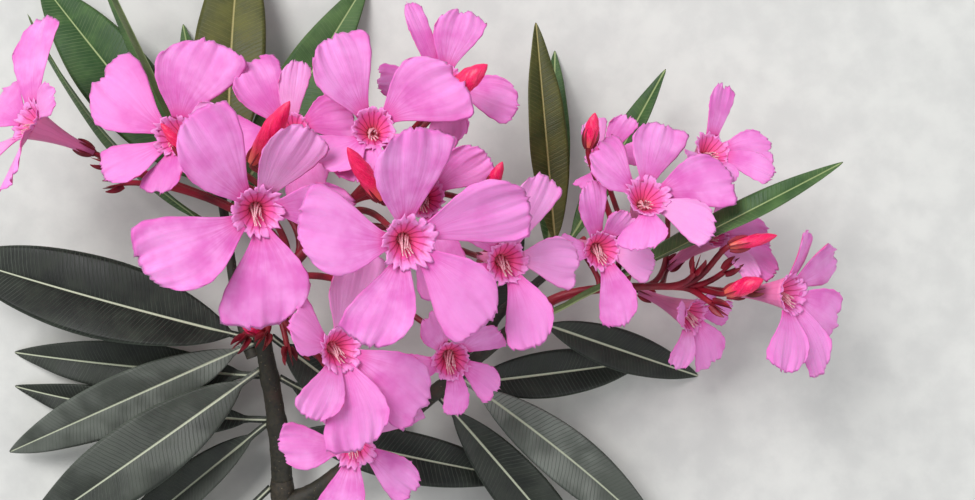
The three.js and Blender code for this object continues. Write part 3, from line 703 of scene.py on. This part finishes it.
BUDS = {
    "left": [
        Bud((4, 145, 63), (15.5, 160, 73), 2.8, 0.7),
        Bud((38.5, 135, 69), (30.5, 148, 76), 2.4, 0.85),
        Bud((-12, 146, 64), (-19, 155, 67), 1.6, 0.45),
        Bud((55, 163, 58), (66, 171, 62), 3, 0.97),
        Bud((66, 137, 55.5), (70, 145.5, 59.5), 1.8, 0.8),
        Bud((1.5, 98.5, 34), (-3.5, 100.8, 38), 1.8, 0.1),
    ],
    "right": [
        Bud((132, 123, 51), (145, 126, 51), 1.8, 0.8),
        Bud((132, 110, 46), (141, 114, 52), 2.5, 0.9),
        Bud((93.5, 150, 51), (95, 159, 55), 2, 0.3),
    ],
}
SPENT = {
    "left": [
        Calyx((-3, 97, 33), (230, 50), 0.1), Calyx((3, 98, 35), (250, 35), 0.12),
        Calyx((9, 94, 35), (290, 45), 0.14), Calyx((14, 95, 36), (320, 50), 0.16),
        Calyx((-41, 146, 37), (160, 45), 0.26), Calyx((-38, 141, 35), (190, 55), 0.26),
    ],
    "right": [
        Calyx((132, 116, 44), (40, 55), 0.85), Calyx((129, 107, 41), (-30, 55), 0.85),
        Calyx((137, 111, 46), (10, 60), 0.9), Calyx((124, 116, 42), (80, 40), 0.75),
    ],
}
Stalk = namedtuple("Stalk", "start leave arrive end radii fork_radius")
STALKS = {
    "left": Stalk((-1.1, 98.3, 22.1), (-1, 12, 5), (8, 10, 2), (33, 143, 33), (2.1, 1.3), 1.1),
    "right": Stalk((84.3, 107.2, 30.1), (8, 5, 3), (10, -1, 0), (127, 111, 33), (1.5, 0.9), 0.85),
}
PEDICEL_RADIUS = 0.8
BUD_STALK_RADIUS = 1.0
STALK_POINTS = 80
PEDICEL_POINTS = 36
STALK_SIDES = 14
STALK_LEAVE = 0.4          # how long a side stalk keeps to the way of its stalk
BLOOM_ARRIVE = 0.4
BUD_ARRIVE = 0.15
CALYX_ARRIVE = 0.3
INTO_CALYX = 1.0           # how far a flower's stalk runs on inside its calyx
SEPALS = 5
SEPAL_SEAT = 0.1
SEPAL_ASIDE = (0.2, 0.3, 1.0)   # any way but along a bud
STALK_COLOURS = {"deep": (96, 8, 26), "light": (162, 26, 50), "green": (120, 80, 52)}
SEPAL_LENGTH = 5.4
SEPAL_WIDTH = 1.9


def bloom_frame(bloom):
    """A flower's mouth, the axis that it faces along, and two directions across it."""
    turn, tilt = bloom.faces
    axis = heading(turn, 90 - tilt)
    east = unit(np.array([1.0, 0, 0]) - axis * axis[0])
    return np.array(bloom.at, float), axis, east, np.cross(axis, east)


def merged(pieces):
    """The points of several pieces in one array, and their edges or faces, numbered to suit it."""
    starts = np.cumsum([0] + [len(points) for points, _ in pieces])
    joins = []
    for start, (_, some) in zip(starts, pieces):
        joins += [[int(corner) + int(start) for corner in join] for join in some]
    return np.vstack([points for points, _ in pieces]), joins


def side_stalk(stalk_path, fork, end, axis, arrive):
    """A side stalk leaves along the cluster's stalk and comes in along the axis of what it carries."""
    start, along = spot(stalk_path, fork)
    gap = np.linalg.norm(start - end)
    return route(start, along * gap * STALK_LEAVE, axis * gap * arrive, end, PEDICEL_POINTS)


stalk_finish, tree, skin = finish_named("stalk", Roughness=0.45)
place = object_place(tree)
patches = between(noise(place, 120.0, 4.0), 0.3, 0.7)
streaks = noise(place, 1100.0, 4.0, 0.65)
greener = between(noise(place, 45.0, 2.0), 0.56, 0.7, 0.0, 0.55)
paler = between(streaks, 0.5, 0.75, 0.0, 0.35)
colour = layered(STALK_COLOURS["deep"], (patches, STALK_COLOURS["light"]),
                 (greener, STALK_COLOURS["green"]), (paler, STALK_COLOURS["light"]))
dress(skin, colour, streaks, 0.4, 0.0002)

# One sepal is a flat tapering strip along a curve. Five stand in a ring, and a ring is set on each
# calyx with the flower's axis up.
whorls, given = new_tree("whorls", Length="Float", Width="Float", Count="Int", Finish="Material")


def sepal_share(title, share):
    """A share of the sepals' length or width."""
    return times(given[title], share)


rim = wire(whorls, "ShaderNodeCombineXYZ", X=sepal_share("Width", 0.75), Z=sepal_share("Length", 0.5))
tip = wire(whorls, "ShaderNodeCombineXYZ", X=sepal_share("Width", 0.55), Z=given["Length"])
strip = wire(whorls, "GeometryNodeCurveQuadraticBezier", Resolution=9, Start=(0.0, 0.0, 0.0), Middle=rim,
             End=tip)
share = wire(whorls, "GeometryNodeSplineParameter")
bulge = maths("SINE", maths("MULTIPLY_ADD", share, 1.9, 1.1))
narrow = times(maths("MAXIMUM", bulge, 0.06), sepal_share("Width", 0.5))
circle = wire(whorls, "GeometryNodeCurvePrimitiveCircle", Resolution=8, Radius=1.0)
oval = wire(whorls, "GeometryNodeTransform", Geometry=circle, Scale=(0.24, 1.0, 1.0))
sepal = wire(whorls, "GeometryNodeCurveToMesh", Curve=strip, Profile_Curve=oval, Scale=narrow, Fill_Caps=True)
ring = wire(whorls, "GeometryNodeMeshCircle", Vertices=given["Count"], Radius=sepal_share("Width", 0.4))
step = maths("DIVIDE", 2 * math.pi, given["Count"])
spin = wire(whorls, "FunctionNodeAxisAngleToRotation", Axis=(0.0, 0.0, 1.0),
            Angle=times(wire(whorls, "GeometryNodeInputIndex"), step))
cup = wire(whorls, "GeometryNodeRealizeInstances",
           Geometry=wire(whorls, "GeometryNodeInstanceOnPoints", Points=ring, Instance=sepal, Rotation=spin))
stand = wire(whorls, "FunctionNodeAxesToRotation", {"primary_axis": "Z", "secondary_axis": "X"},
             Primary_Axis=stored(whorls, "axis", "FLOAT_VECTOR"),
             Secondary_Axis=stored(whorls, "across", "FLOAT_VECTOR"))
cups = wire(whorls, "GeometryNodeInstanceOnPoints", Points=given["Geometry"], Instance=cup, Rotation=stand)
end_tree(whorls, cups, given["Finish"])

for side, stalk in STALKS.items():
    path = route(*stalk[:4], STALK_POINTS)
    lines, cups = [(sunk(path), np.linspace(*stalk.radii, STALK_POINTS + 1))], []
    for bloom in BLOOMS[side]:
        mouth, axis, east, north = bloom_frame(bloom)
        foot = mouth - axis * bloom.tube
        line = side_stalk(path, bloom.fork, foot - axis * GAP, axis, BLOOM_ARRIVE)
        line = np.vstack([line, foot + axis * INTO_CALYX])
        lines.append((line, np.linspace(stalk.fork_radius, PEDICEL_RADIUS, len(line))))
        cups.append((foot + axis * SEPAL_SEAT, axis, east))
    for bud in BUDS[side]:
        base = np.array(bud.base, float)
        axis = unit(np.array(bud.tip, float) - base)
        line = side_stalk(path, bud.fork, base, axis, BUD_ARRIVE)
        lines.append((line, np.linspace(BUD_STALK_RADIUS, PEDICEL_RADIUS, len(line))))
        cups.append((base, axis, unit(np.cross(axis, SEPAL_ASIDE))))
    for calyx in SPENT[side]:
        foot, axis, east, north = bloom_frame(calyx)
        line = side_stalk(path, calyx.fork, foot, axis, CALYX_ARRIVE)
        lines.append((line, np.linspace(BUD_STALK_RADIUS, PEDICEL_RADIUS, len(line))))
        cups.append((foot, axis, east))
    points, edges = merged([(line, chain(line)) for line, _ in lines])
    piece = grown(f"{side}_stalks", limbs, points, edges,
                  {"Sides": STALK_SIDES, "Relief": 0.0002, "Grain": 700.0, "Pore": 0.00012,
                   "Pore Density": 60000.0, "Finish": stalk_finish},
                  thick=np.concatenate([thick for _, thick in lines]) * MM)
    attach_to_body(piece, "root")
    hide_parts(f"{side}_cluster_stalk")
    feet, axes, acrosses = zip(*cups)
    piece = grown(f"{side}_sepals", whorls, feet, [],
                  {"Length": SEPAL_LENGTH * MM, "Width": SEPAL_WIDTH * MM, "Count": SEPALS,
                   "Finish": stalk_finish}, axis=axes, across=acrosses)
    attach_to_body(piece, "root")

# Buds. Each is a closed spindle of five petals rolled round each other, deep crimson with paler
# edges where one petal laps over the next.
BUD_ROWS = 40
BUD_SIDES = 60
BUD_PETALS = 5
BUD_ASIDE = (0.3, 0.2, 1.0)
BUD_TWIST = 2.53           # folds passed on the way from base to tip
BUD_STEP = 0.13            # how far a fold's edge stands out, of the bud's radius
BUD_PROFILE = ((0, 0.12, 0.35, 0.6, 0.82, 0.94, 1), (0.45, 0.72, 0.97, 1, 0.66, 0.32, 0.05))
BUD_COLOURS = {"deep": (224, 12, 78), "bright": (254, 38, 112), "edge": (252, 96, 150),
               "base": (228, 120, 86)}

bud_finish, tree, skin = finish_named("bud", Roughness=0.38, Subsurface_Weight=0.15,
                                      Subsurface_Radius=(0.002, 0.0006, 0.0006))
fold = wire(tree, "ShaderNodeAttribute", {"attribute_name": "fold"}, 1)
lap, along, _ = split(fold)
streaks = noise(fold, 9.0, 4.0)
colour = layered(BUD_COLOURS["deep"], (between(streaks, 0.3, 0.7), BUD_COLOURS["bright"]),
                 (between(lap, 0.84, 0.98, 0.0, 0.45), BUD_COLOURS["edge"]),
                 (between(along, 0.0, 0.38, 0.8, 0.0), BUD_COLOURS["base"]))
dress(skin, colour, streaks, 0.35, 0.0002)


def fanned(east, north, angle):
    """The directions at these angles from east towards north."""
    return east * np.cos(angle)[..., None] + north * np.sin(angle)[..., None]


def ring_faces(rows, sides):
    """The point numbers of each ring, and the faces that join each ring to the next."""
    number = np.arange(rows * sides).reshape(rows, sides)
    after = np.roll(number, -1, axis=1)
    faces = np.stack([number[:-1], after[:-1], after[1:], number[1:]], -1).reshape(-1, 4).tolist()
    return number, after, faces


def bud_shell(bud):
    """Points and faces of one bud, and for each point its place in the fold and along the bud."""
    base, tip = np.array(bud.base, float), np.array(bud.tip, float)
    length = np.linalg.norm(tip - base)
    axis = unit(tip - base)
    east = unit(np.cross(axis, BUD_ASIDE))
    north = np.cross(axis, east)
    share = np.linspace(0, 1, BUD_ROWS)[:, None]
    angle = np.linspace(0, 2 * np.pi, BUD_SIDES, endpoint=False)[None, :]
    girth = bud.radius * np.interp(share, *BUD_PROFILE)
    lap = (BUD_PETALS * angle / (2 * np.pi) + BUD_TWIST * share ** 1.2) % 1
    step = BUD_STEP * np.sin(np.pi * np.clip(share * 1.05, 0, 1)) ** 0.5
    round_out = girth * (1 - step * (1 - lap) ** 1.5)
    ring = fanned(east, north, angle) * round_out[..., None]
    points = (base + axis * (share * length)[..., None] + ring).reshape(-1, 3)
    number, _, faces = ring_faces(BUD_ROWS, BUD_SIDES)
    faces += [number[0, ::-1].tolist(), number[-1].tolist()]
    fold = np.stack(np.broadcast_arrays(lap, share, np.cos(angle)), -1)
    return points, faces, fold.reshape(-1, 3)


for side, buds in BUDS.items():
    shells = [bud_shell(bud) for bud in buds]
    points, faces = merged([(points, faces) for points, faces, _ in shells])
    piece = new_piece(f"{side}_buds", points, faces, [bud_finish])
    attach(piece.data, "fold", np.vstack([fold for _, _, fold in shells]))
    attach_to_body(piece, "root")

# Blooms. Five broad petals stand round a funnel, each set like a propeller blade. Five fringed scales
# go on from the funnel's wall and flare out over its rim, and pale hairy threads twist together in
# the middle of the funnel.
PETAL = {
    "claw": 4.4, "widest": 0.74, "swell": 1.4, "taper": 0.26, "corner_round": 0.13, "round_round": 0.36,
    "round_power": 2.8, "skew": 0.14, "cup": 0.05, "turn": 14, "fray": 0.25, "fray_waves": 28,
    "full_ruffle": 20, "overlap": 0.15, "thick_foot": 1.4, "thinner_tip": 0.7,
}
PETALS = 5
PETAL_ROWS = 25
PETAL_COLUMNS = 41
PETAL_HALF = 0.16
TEETH = ((0.3, 7.4), (0.26, 13))   # how far the rim's teeth stand out, and their half waves
TEETH_PATCHES = (0.6, 2.3)         # how much they come and go, and the half waves of that
NOTCH_DEPTH = 1.4          # of a petal's one notch, at most, and how far from its middle it may be
NOTCH_ASIDE = 0.6
NOTCH_WIDTH = 0.14
RUFFLES = ((0.65, 2.5, 2.2), (0.35, 4, 5.8), (0.07, 1.5, 11))   # height, growth outward, half waves
EDGE_RUFFLE = 0.8
MOUTH = 4.8
LIP = -0.1
TUBE_RADIUS = 1.5
FUNNEL_DEPTH = 15.5        # from the mouth down to where the tube is narrow
FUNNEL_INSIDE = 6.5        # from the mouth down to the bottom that shows
FUNNEL_FLARE = 1.6
FUNNEL_WALL = 0.4
FUNNEL_SIDES = 40
FUNNEL_ROWS = 12
SCALE_ROWS = 8
SCALE_COLUMNS = 33
SCALE_HALF = 0.11
SCALE_FOOT = (3.9, -1.3)   # out from the axis, and along it from the mouth
SCALE_PITCH = (70, 50)     # degrees at the foot, and how much less at the tip
SCALE_FAN = 0.66
SCALE_TALL = (3.0, 1.8)    # at its lowest, and how much its lobes add
SCALE_VARIES = (0.78, 1.18)
THREADS = 8
THREAD_POINTS = 16
THREAD_TWIST = 1.5
THREAD_RUN = (-5.5, 6.6)   # where along the axis a thread starts, and how far it goes
THREAD_LEAN = 2.6
THREAD_THICK = (0.4, 0.26)   # at the foot, and how much less at the tip
STRIPES = 15               # dark lines round the throat
# The bright colour is a painted highlight: the petals of lowest tone are painted paler, as if strongly lit.
PETAL_COLOURS = {"middle": (216, 98, 184), "pale": (238, 154, 220), "deep": (220, 62, 146),
                 "under": (228, 88, 158), "rim": (234, 104, 194), "bright": (248, 190, 236),
                 "vein": (206, 76, 158)}
# The glow colour is painted light: the bottom of the funnel is painted paler, a glow in the deep throat where
# shade falls.
THROAT_COLOURS = {"coral": (244, 92, 156), "stripe": (176, 16, 84), "painted_glow": (248, 124, 136),
                  "outside": (234, 124, 178), "mouth": (236, 98, 176)}
SCALE_COLOURS = {"pale": (238, 144, 212), "deep": (222, 84, 164)}
THREAD_LIGHT = (248, 214, 214)
THREAD_DARK = (226, 150, 168)


def ripple(across, waves, phase):
    """A wave across a petal, with this many half waves from the middle to the edge."""
    return np.sin(waves * np.pi * across + phase)


def petal_sheet(bloom, k, draw):
    """One petal: its points, faces and upper flags, and for each point its place across, along and
    towards the rim."""
    mouth, axis, east, north = bloom_frame(bloom)
    length, width = bloom.reach[k], bloom.breadth[k]
    lift, rest = (math.radians(slope) for slope in bloom.lifts)
    bend, turn = rest - lift, math.radians(PETAL["turn"])
    angle = math.radians(bloom.spread[k])
    out = east * math.cos(angle) + north * math.sin(angle)
    side = np.cross(axis, out)
    share = np.linspace(0, 1, PETAL_ROWS)[:, None]
    across = np.linspace(-1, 1, PETAL_COLUMNS)[None, :]
    edge = np.abs(across)
    rounding = np.where(across < 0, PETAL["corner_round"], PETAL["round_round"])
    nicks = draw.uniform(*ANY_PHASE, 3)
    (tall, waves), (low, fine_waves) = TEETH
    teeth = tall * ripple(across, waves, nicks[0]) + low * ripple(across, fine_waves, nicks[1])
    patches, patch_waves = TEETH_PATCHES
    teeth = teeth * (patches + patches * ripple(across, patch_waves, nicks[2]))
    deep, aside = draw.uniform(0, NOTCH_DEPTH), draw.uniform(-NOTCH_ASIDE, NOTCH_ASIDE)
    notch = deep * np.exp(-(((across - aside) / NOTCH_WIDTH) ** 2))
    along = share * (1 - rounding * edge ** PETAL["round_power"]) + share ** 10 * (teeth - notch) / length
    open_share = np.clip(along / PETAL["widest"], 0, 1)
    beyond = np.maximum((along - PETAL["widest"]) / (1 - PETAL["widest"]), 0)
    swell = np.sin(np.pi / 2 * open_share) ** PETAL["swell"]
    reach = (PETAL["claw"] + (width * (1 - PETAL["taper"] * beyond ** 2) - PETAL["claw"]) * swell) / 2
    pitch = lift + bend * along
    run = length * (np.sin(pitch) - math.sin(lift)) / bend
    rise = length * (math.cos(lift) - np.cos(pitch)) / bend
    frayed = edge ** 10 * share ** 2 * np.sin(PETAL["fray_waves"] * share + nicks[1]) * PETAL["fray"]
    lateral = across * (reach + frayed) - PETAL["skew"] * width * share ** 2
    phases = draw.uniform(*ANY_PHASE, 4)

    def ruffled(ruffle, phase):
        height, growth, waves = RUFFLES[ruffle]
        return height * share ** growth * ripple(across, waves, phase)

    at_edge = EDGE_RUFFLE * edge ** 3 * share * np.sin(5 * share + phases[2] + 2 * across)
    ruffle = ruffled(0, phases[0]) + ruffled(1, phases[1]) + at_edge + ruffled(2, phases[3])
    cup = PETAL["cup"] * width * across ** 2 * share + ruffle * min(width / PETAL["full_ruffle"], 1)
    top = axis * np.cos(pitch)[..., None] - out * np.sin(pitch)[..., None]
    middle = (mouth + out * (MOUTH - PETAL["overlap"] + run)[..., None] + axis * rise[..., None]
              + side * (lateral * math.cos(turn) - cup * math.sin(turn))[..., None]
              + top * (lateral * math.sin(turn) + cup * math.cos(turn))[..., None])
    half = np.full(middle.shape[:2], PETAL_HALF) * (PETAL["thick_foot"] - PETAL["thinner_tip"] * share)
    points, faces, upper, inside = closed_sheet(middle, half, half)
    rim = np.maximum(edge ** 4, share ** 9)
    place = np.stack(np.broadcast_arrays(across * (0.35 + 0.65 * share), share, rim), -1)
    return points, faces, upper, both_sides(place, inside)


def scale_sheet(bloom, k, draw):
    """One of the five fringed scales, as petal_sheet gives a petal."""
    mouth, axis, east, north = bloom_frame(bloom)
    angle = math.radians(bloom.spread[0] + 360 / PETALS * k)
    share = np.linspace(0, 1, SCALE_ROWS)[:, None]
    across = np.linspace(-1, 1, SCALE_COLUMNS)[None, :]
    phases = draw.uniform(*ANY_PHASE, 5)
    lobes = np.abs(np.sin(5.0 * across + phases[0] + 0.6 * np.sin(4 * across))) ** 0.6
    nicks = 0.3 * np.sin(13 * across + phases[1]) + 0.18 * np.sin(27 * across + phases[2])
    lowest, lobe = SCALE_TALL
    tall = (lowest + lobe * lobes + nicks) * (1 - 0.25 * np.abs(across) ** 3) * draw.uniform(*SCALE_VARIES)
    tall = tall * np.clip(np.mean(bloom.reach) / 22, 0.62, 1.0)
    steep, flare = (math.radians(slope) for slope in SCALE_PITCH)
    pitch = steep - flare * share ** 1.1 * np.minimum(tall / 5, 1.1)
    step = tall / (SCALE_ROWS - 1)
    run = np.cumsum(np.cos(pitch) * step, axis=0) - np.cos(pitch[:1]) * step
    rise = np.cumsum(np.sin(pitch) * step, axis=0) - np.sin(pitch[:1]) * step
    rise = rise + 0.3 * share * np.sin(8 * across + phases[3])
    run = run + 0.25 * share ** 2 * np.sin(13 * across + phases[4])
    fan = angle + across * SCALE_FAN + 0.05 * np.sin(11 * across + 3 * share) * share
    foot_out, foot_up = SCALE_FOOT
    out = fanned(east, north, fan)
    middle = mouth + out * (foot_out + run)[..., None] + axis * (rise + foot_up)[..., None]
    half = np.full(middle.shape[:2], SCALE_HALF)
    points, faces, upper, inside = closed_sheet(middle, half, half)
    place = np.stack(np.broadcast_arrays(np.cos(fan), np.sin(fan), share), -1)
    return points, faces, upper, both_sides(place, inside)


def funnel_shell(bloom):
    """The flower's tube and funnel, closed inside at its depth, as petal_sheet gives a petal."""
    mouth, axis, east, north = bloom_frame(bloom)
    tube = bloom.tube
    outside = np.linspace(0, 1, FUNNEL_ROWS)
    girth = TUBE_RADIUS + (MOUTH - TUBE_RADIUS) * outside ** FUNNEL_FLARE
    height = LIP - min(FUNNEL_DEPTH, tube - 2) * (1 - outside)
    inside = np.linspace(1, 0, FUNNEL_ROWS)[:-1]
    inner_girth = (TUBE_RADIUS + (MOUTH - TUBE_RADIUS) * inside ** FUNNEL_FLARE) - FUNNEL_WALL
    inner_height = LIP - min(FUNNEL_INSIDE, tube - 4) * (1 - inside)
    foot, bottom = 0.2 - tube, inner_height[-1] - FUNNEL_WALL
    rings = [(TUBE_RADIUS * 0.95, foot), *zip(girth, height), (MOUTH - FUNNEL_WALL / 2, LIP + 0.1),
             *zip(inner_girth, inner_height)]
    angle = np.linspace(0, 2 * np.pi, FUNNEL_SIDES, endpoint=False)
    round_out = fanned(east, north, angle)
    points = np.vstack([*(mouth + axis * high + round_out * wide for wide, high in rings),
                        mouth + axis * foot, mouth + axis * bottom])
    number, after, faces = ring_faces(len(rings), FUNNEL_SIDES)
    low, high = len(points) - 2, len(points) - 1
    faces += [[low, b, a] for a, b in zip(number[0], after[0])]
    faces += [[a, b, high] for a, b in zip(number[-1], after[-1])]
    lip = FUNNEL_SIDES * (1 + FUNNEL_ROWS)
    upper = [float(min(face) >= lip) for face in faces]
    depth = np.array([high for _, high in rings])
    place = np.column_stack([np.tile(np.cos(angle), len(rings)), np.tile(np.sin(angle), len(rings)),
                             np.repeat(depth, FUNNEL_SIDES)])
    return points, faces, upper, np.vstack([place, [[0, 0, depth[0]], [0, 0, depth[-1]]]])


def petal_finish(middle, pale, deep, under, rim, bright, vein):
    finish, tree, skin = finish_named("petal", Roughness=0.6, Specular_IOR_Level=0.25,
                                      Subsurface_Weight=0.3, Subsurface_Radius=(0.003, 0.0012, 0.0022),
                                      Sheen_Weight=0.15)
    across, along, edge = parts_of(tree, "petal")
    tone_and_highlight = value_of(tree, "tone_and_highlight")
    fan = maths("DIVIDE", across, plus(times(along, 0.9), 0.35))
    rays = wire(tree, "ShaderNodeCombineXYZ", X=times(fan, 13.0), Y=times(along, 1.6),
                Z=times(tone_and_highlight, 9.0))
    veins = between(noise(rays, 1.0, 4.0, 0.6), 0.36, 0.66)
    cloud = noise(object_place(tree), 130.0, 3.0)
    shade = plus(cloud, times(tone_and_highlight, 0.3))
    inward = between(maths("ABSOLUTE", across), 0.1, 0.9, 1.0, 0.0)
    face = layered(middle, (between(shade, 0.4, 0.85), pale),
                   (times(between(along, 0.0, 0.55, 0.6, 0.1), veins), vein),
                   (between(along, 0.0, 0.24, 0.7, 0.0), deep),
                   (between(tone_and_highlight, 0.35, 1.0, 0.0, 0.4), rim),
                   # painted highlight on the petals of lowest tone
                   (between(tone_and_highlight, 0.0, 0.3, 0.5, 0.0), bright),
                   (times(between(along, 0.3, 0.75, 0.0, 0.4), inward), pale),
                   (between(edge, 0.55, 1.0, 0.0, 0.5), rim))
    back = layered(under, (between(cloud, 0.35, 0.75, 0.0, 0.6), middle), (times(veins, 0.3), vein))
    dress(skin, mixed(value_of(tree, "upper"), back, face), veins, 0.18, 0.0002)
    return finish


def throat_stripes(tree):
    """How much of a dark line shows round the throat, and the third part of the place."""
    round_x, round_y, third = parts_of(tree, "petal")
    turn = times(maths("ARCTAN2", round_y, round_x), STRIPES / (2 * math.pi))
    uneven = times(noise(object_place(tree), 240.0, 2.0), 0.9)
    comb = maths("PINGPONG", plus(turn, uneven), 0.5)
    return between(comb, 0.02, 0.2, 0.75, 0.0), third


def throat_finish(coral, stripe, painted_glow, outside, mouth):
    finish, tree, skin = finish_named("throat", Roughness=0.5, Subsurface_Weight=0.25,
                                      Subsurface_Radius=(0.003, 0.001, 0.001))
    stripes, depth = throat_stripes(tree)
    # The funnel's bottom takes the painted glow colour, painted light in the deep throat.
    face = layered(painted_glow, (between(depth, -6.0, -2.5), coral),
                   (between(depth, -2.5, -0.3), mouth), (stripes, stripe))
    back = mixed(times(stripes, 0.12), outside, stripe)
    dress(skin, mixed(value_of(tree, "upper"), back, face), stripes, 0.3, 0.0002)
    return finish


def scale_finish(pale, deep):
    finish, tree, skin = finish_named("fringed_scale", Roughness=0.55, Subsurface_Weight=0.25,
                                      Subsurface_Radius=(0.003, 0.0012, 0.0022))
    stripes, along = throat_stripes(tree)
    stripes = times(stripes, between(along, 0.35, 0.95, 1.0, 0.0))
    mottle = noise(object_place(tree), 900.0, 3.0)
    colour = layered(THROAT_COLOURS["mouth"], (between(along, 0.15, 0.7), pale),
                     (between(mottle, 0.5, 0.7, 0.0, 0.4), deep), (stripes, THROAT_COLOURS["stripe"]))
    dress(skin, colour, stripes, 0.3, 0.0002)
    return finish


flower_finishes = [petal_finish(**PETAL_COLOURS), throat_finish(**THROAT_COLOURS),
                   scale_finish(**SCALE_COLOURS)]
SHELL_FINISHES = [0] * PETALS + [2] * PETALS + [1]   # petals, scales and funnel, in the order made
thread_finish, tree, skin = finish_named("thread", Roughness=0.8)
fuzz = noise(object_place(tree), 2500.0, 3.0)
colour = mixed(between(fuzz, 0.35, 0.7), THREAD_DARK, THREAD_LIGHT)
dress(skin, colour, fuzz, 0.6, 0.0003)
flower_draw = np.random.default_rng(23)
up = np.linspace(0, 1, THREAD_POINTS)
for side, blooms in BLOOMS.items():
    threads = []
    for number, bloom in enumerate(blooms, 1):
        shells = [petal_sheet(bloom, k, flower_draw) for k in range(PETALS)]
        shells += [scale_sheet(bloom, k, flower_draw) for k in range(PETALS)]
        shells.append(funnel_shell(bloom))
        points, faces = merged([shell[:2] for shell in shells])
        which = np.repeat(SHELL_FINISHES, [len(shell[1]) for shell in shells])
        # Each shell's random tone, which also picks the petals that get the painted highlight.
        tones_and_highlights = [np.full(len(shell[0]), flower_draw.uniform(0, 1)) for shell in shells]
        name = f"{side}_bloom_{number}"
        piece = new_piece(f"{name}_flower", points, faces, flower_finishes, which)
        attach(piece.data, "petal", np.vstack([place for *_, place in shells]))
        attach(piece.data, "upper", np.concatenate([upper for _, _, upper, _ in shells]), "FACE")
        attach(piece.data, "tone_and_highlight", np.concatenate(tones_and_highlights))
        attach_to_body(piece, "root")
        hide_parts(name)
        mouth, axis, east, north = bloom_frame(bloom)
        for thread in range(THREADS):
            turn = thread * 2 * np.pi / THREADS + up * THREAD_TWIST + flower_draw.uniform(-0.3, 0.3)
            wide = 1.3 - 0.9 * up + 0.8 * up ** 3 + flower_draw.uniform(-0.2, 0.3) * up
            middle = mouth + axis * (THREAD_RUN[0] + THREAD_RUN[1] * up)[:, None]
            middle = middle - north * (THREAD_LEAN * up ** 2)[:, None]
            threads.append(middle + fanned(east, north, turn) * wide[:, None])
    points, edges = merged([(thread, chain(thread)) for thread in threads])
    thick = np.tile(THREAD_THICK[0] - THREAD_THICK[1] * up, len(threads)) * MM
    piece = grown(f"{side}_threads", limbs, points, edges,
                  {"Sides": 7, "Relief": 0.0004, "Grain": 1800.0, "Pore": 0.0001, "Pore Density": 0.0,
                   "Finish": thread_finish}, thick=thick)
    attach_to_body(piece, "root")
